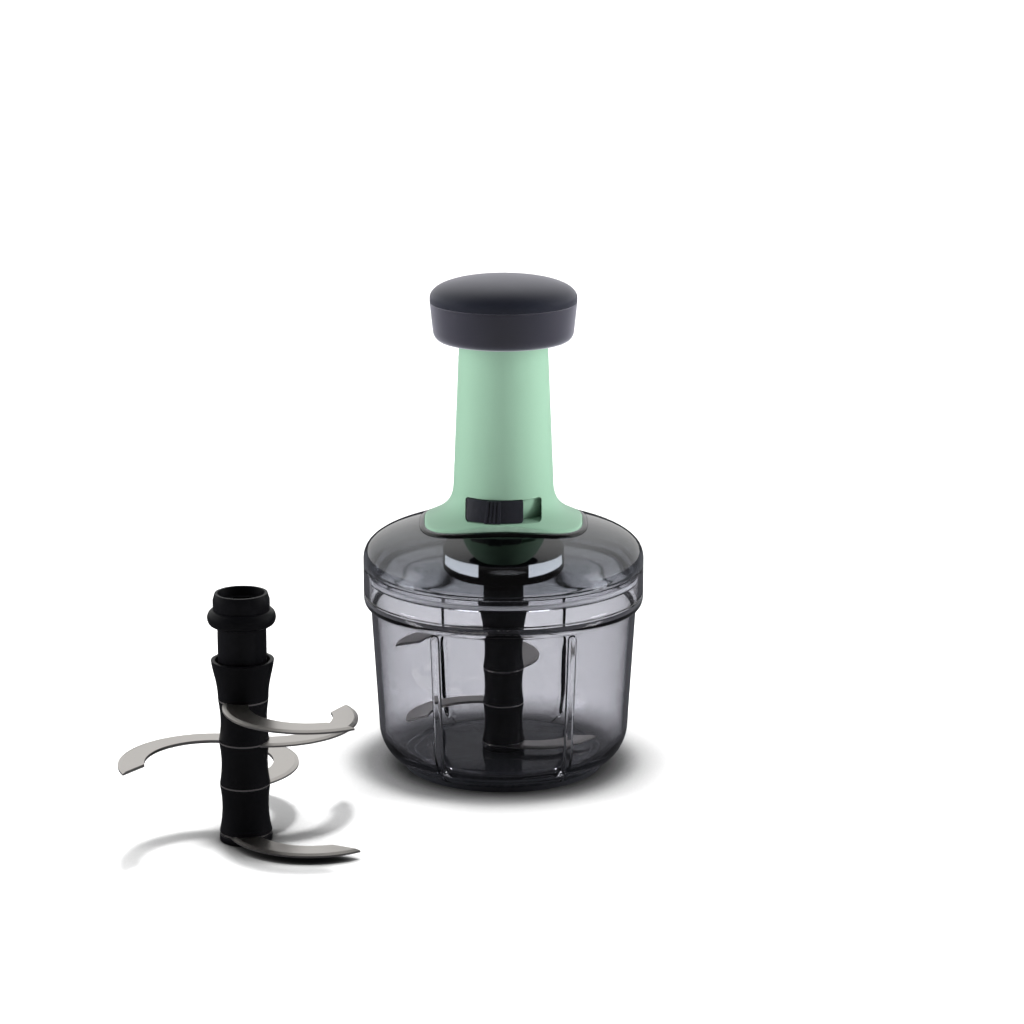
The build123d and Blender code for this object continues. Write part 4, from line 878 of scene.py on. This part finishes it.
def softened(node, name, width, sharp):
    """Copy of a CAD piece with rounded edges."""
    deselect()
    source = nodes[node]
    piece = source.copy()
    piece.data = source.data.copy()
    piece.parent = None
    piece.animation_data_clear()
    for key in list(piece.keys()):
        del piece[key]
    bpy.context.scene.collection.objects.link(piece)
    piece.name = piece.data.name = name
    piece.select_set(True)
    bpy.context.view_layer.objects.active = piece
    bpy.ops.object.mode_set(mode="EDIT")
    bpy.ops.mesh.select_all(action="SELECT")
    bpy.ops.mesh.remove_doubles(threshold=MERGE_GAP)
    bpy.ops.mesh.dissolve_limited(angle_limit=math.radians(1.0))
    bpy.ops.object.mode_set(mode="OBJECT")
    round_edges(piece, width, sharp)
    return piece


tower()
knob()
lid_dome()
drive_dish()
rubber_base()
hub("", "blade_unit", 1.0)
hub("spare_", "spare_unit", SPARE_SCALE)
slider = softened("lock_slider", "lock_slider_grip", 0.25 * MM, 30.0)
fit_piece(slider, "lock_slider", SLIDER, "slate_slider", "lock_slider")

# ---- Studio: floor, lights and camera ----


def mirrored_only(tree):
    """1 for a ray that some surface has mirrored, and 0 for one that only went through."""
    ray = put(tree, "ShaderNodeLightPath")
    once = put(tree, "ShaderNodeMath", operation="GREATER_THAN")
    once.inputs[1].default_value = 0.5
    tree.links.new(ray.outputs["Glossy Depth"], once.inputs[0])
    return once.outputs["Value"]


def studio_floor():
    deselect()
    bpy.ops.mesh.primitive_plane_add(size=60.0, location=(0, 0, 0))
    floor = bpy.context.active_object
    floor.name = "floor"
    finish, tree, shader = new_finish("floor_paper")
    shader.inputs["Emission Strength"].default_value = 0.02
    shader.inputs["Roughness"].default_value = 0.9
    shader.inputs["Specular IOR Level"].default_value = 0.0
    link = tree.links.new
    # Painted shadow: the floor's colour and its faint glow darken by ambient occlusion near the
    # object.
    painted_contact_shade = put(tree, "ShaderNodeAmbientOcclusion", samples=12, Distance=0.05)
    depth = put(tree, "ShaderNodeMath", operation="POWER")
    depth.inputs[1].default_value = 2.4
    paper_with_painted_shadow = put(tree, "ShaderNodeMix", data_type="RGBA")
    paper_with_painted_shadow.inputs[6].default_value = (0.02, 0.02, 0.02, 1.0)
    paper_with_painted_shadow.inputs[7].default_value = (0.97, 0.97, 0.97, 1.0)
    link(painted_contact_shade.outputs["AO"], depth.inputs[0])
    link(depth.outputs["Value"], paper_with_painted_shadow.inputs["Factor"])
    link(paper_with_painted_shadow.outputs[2], shader.inputs["Base Color"])
    link(paper_with_painted_shadow.outputs[2], shader.inputs["Emission Color"])
    # Painted reflection: rays that something has mirrored see the floor almost black.
    dark_floor_in_reflections = put(tree, "ShaderNodeBsdfDiffuse", Color=(0.05, 0.05, 0.055, 1.0))
    either = put(tree, "ShaderNodeMixShader")
    link(mirrored_only(tree), either.inputs["Fac"])
    link(shader.outputs["BSDF"], either.inputs[1])
    link(dark_floor_in_reflections.outputs["BSDF"], either.inputs[2])
    link(either.outputs["Shader"], tree.nodes["Material Output"].inputs["Surface"])
    floor.data.materials.append(finish)
    return floor


def softbox(name, place, aim, size, power):
    """Rectangular lamp at a place, facing a point."""
    data = bpy.data.lights.new(name, "AREA")
    data.shape = "RECTANGLE"
    data.size, data.size_y = size
    data.energy = power
    lamp = bpy.data.objects.new(name, data)
    bpy.context.scene.collection.objects.link(lamp)
    lamp.location = place
    lamp.rotation_euler = (Vector(aim) - Vector(place)).to_track_quat("-Z", "Y").to_euler()
    lamp.visible_glossy = False


def studio_world():
    """White room, bright behind the object and at its sides, and dark where the camera is."""
    world = bpy.data.worlds.new("studio")
    bpy.context.scene.world = world
    world.use_nodes = True
    tree = world.node_tree
    link = tree.links.new
    ray = put(tree, "ShaderNodeLightPath")
    place = put(tree, "ShaderNodeTexCoord")
    axes = put(tree, "ShaderNodeSeparateXYZ")
    aside = put(tree, "ShaderNodeMath", operation="ABSOLUTE")
    part_aside = put(tree, "ShaderNodeMath", operation="MULTIPLY_ADD")
    part_aside.inputs[1].default_value = 0.8
    glow = put(tree, "ShaderNodeMapRange", interpolation_type="SMOOTHSTEP",
               From_Min=0.15, From_Max=0.95, To_Min=0.07, To_Max=0.95)
    soft = put(tree, "ShaderNodeMapRange", interpolation_type="SMOOTHSTEP",
               From_Min=-0.6, From_Max=1.0, To_Min=0.06, To_Max=0.6)
    lit = put(tree, "ShaderNodeMix", data_type="RGBA")
    seen = put(tree, "ShaderNodeMix", data_type="RGBA")
    seen.inputs[7].default_value = (1.0, 1.0, 1.0, 1.0)
    link(place.outputs["Generated"], axes.inputs["Vector"])
    link(axes.outputs["X"], aside.inputs[0])
    link(aside.outputs["Value"], part_aside.inputs[0])
    link(axes.outputs["Y"], part_aside.inputs[2])
    link(part_aside.outputs["Value"], glow.inputs["Value"])
    link(part_aside.outputs["Value"], soft.inputs["Value"])
    link(soft.outputs["Result"], lit.inputs[6])
    link(glow.outputs["Result"], lit.inputs[7])
    link(mirrored_only(tree), lit.inputs["Factor"])
    link(ray.outputs["Is Camera Ray"], seen.inputs["Factor"])
    link(lit.outputs[2], seen.inputs[6])
    link(seen.outputs[2], tree.nodes["Background"].inputs["Color"])


def overhead_sun(name, strength, angle, lean, lit=None):
    """Even light from above, leaning by these degrees, and only on one object if it is given."""
    data = bpy.data.lights.new(name, "SUN")
    data.energy = strength
    data.angle = math.radians(angle)
    lamp = bpy.data.objects.new(name, data)
    lamp.visible_glossy = False
    bpy.context.scene.collection.objects.link(lamp)
    lamp.rotation_euler = [math.radians(degrees) for degrees in (*lean, 0.0)]
    if lit:
        lamp.light_linking.receiver_collection = bpy.data.collections.new(name)
        lamp.light_linking.receiver_collection.objects.link(lit)


# The picture is square, and the object's axis stands a little left of its middle.
IMAGE_WIDTH = 1024
SENSOR_WIDTH = 36.0
FOCAL_LENGTH = 105.76
AXIS_PIXEL = 503.5


def studio_camera():
    data = bpy.data.cameras.new("camera")
    data.sensor_width = SENSOR_WIDTH
    data.lens = FOCAL_LENGTH
    data.shift_x = (IMAGE_WIDTH / 2 - AXIS_PIXEL) / IMAGE_WIDTH
    data.clip_end = 100.0
    camera = bpy.data.objects.new("camera", data)
    bpy.context.scene.collection.objects.link(camera)
    camera.location = (0.0, -1.3497, 0.45624)
    camera.rotation_euler = (math.radians(90.0 - 13.97), 0.0, 0.0)
    bpy.context.scene.camera = camera


paper_floor = studio_floor()
studio_world()
overhead_sun("overhead", 0.45, 16.0, (3.0, 2.0))
overhead_sun("floor_light", 3.0, 8.0, (1.0, 2.5), paper_floor)
softbox("left_box", (-0.9, -0.1, 0.35), (0.0, 0.0, 0.13), (0.25, 0.7), 7.8)
softbox("right_box", (0.9, -0.1, 0.35), (0.0, 0.0, 0.13), (0.25, 0.7), 9.2)
studio_camera()
bpy.context.scene.view_settings.view_transform = "Standard"
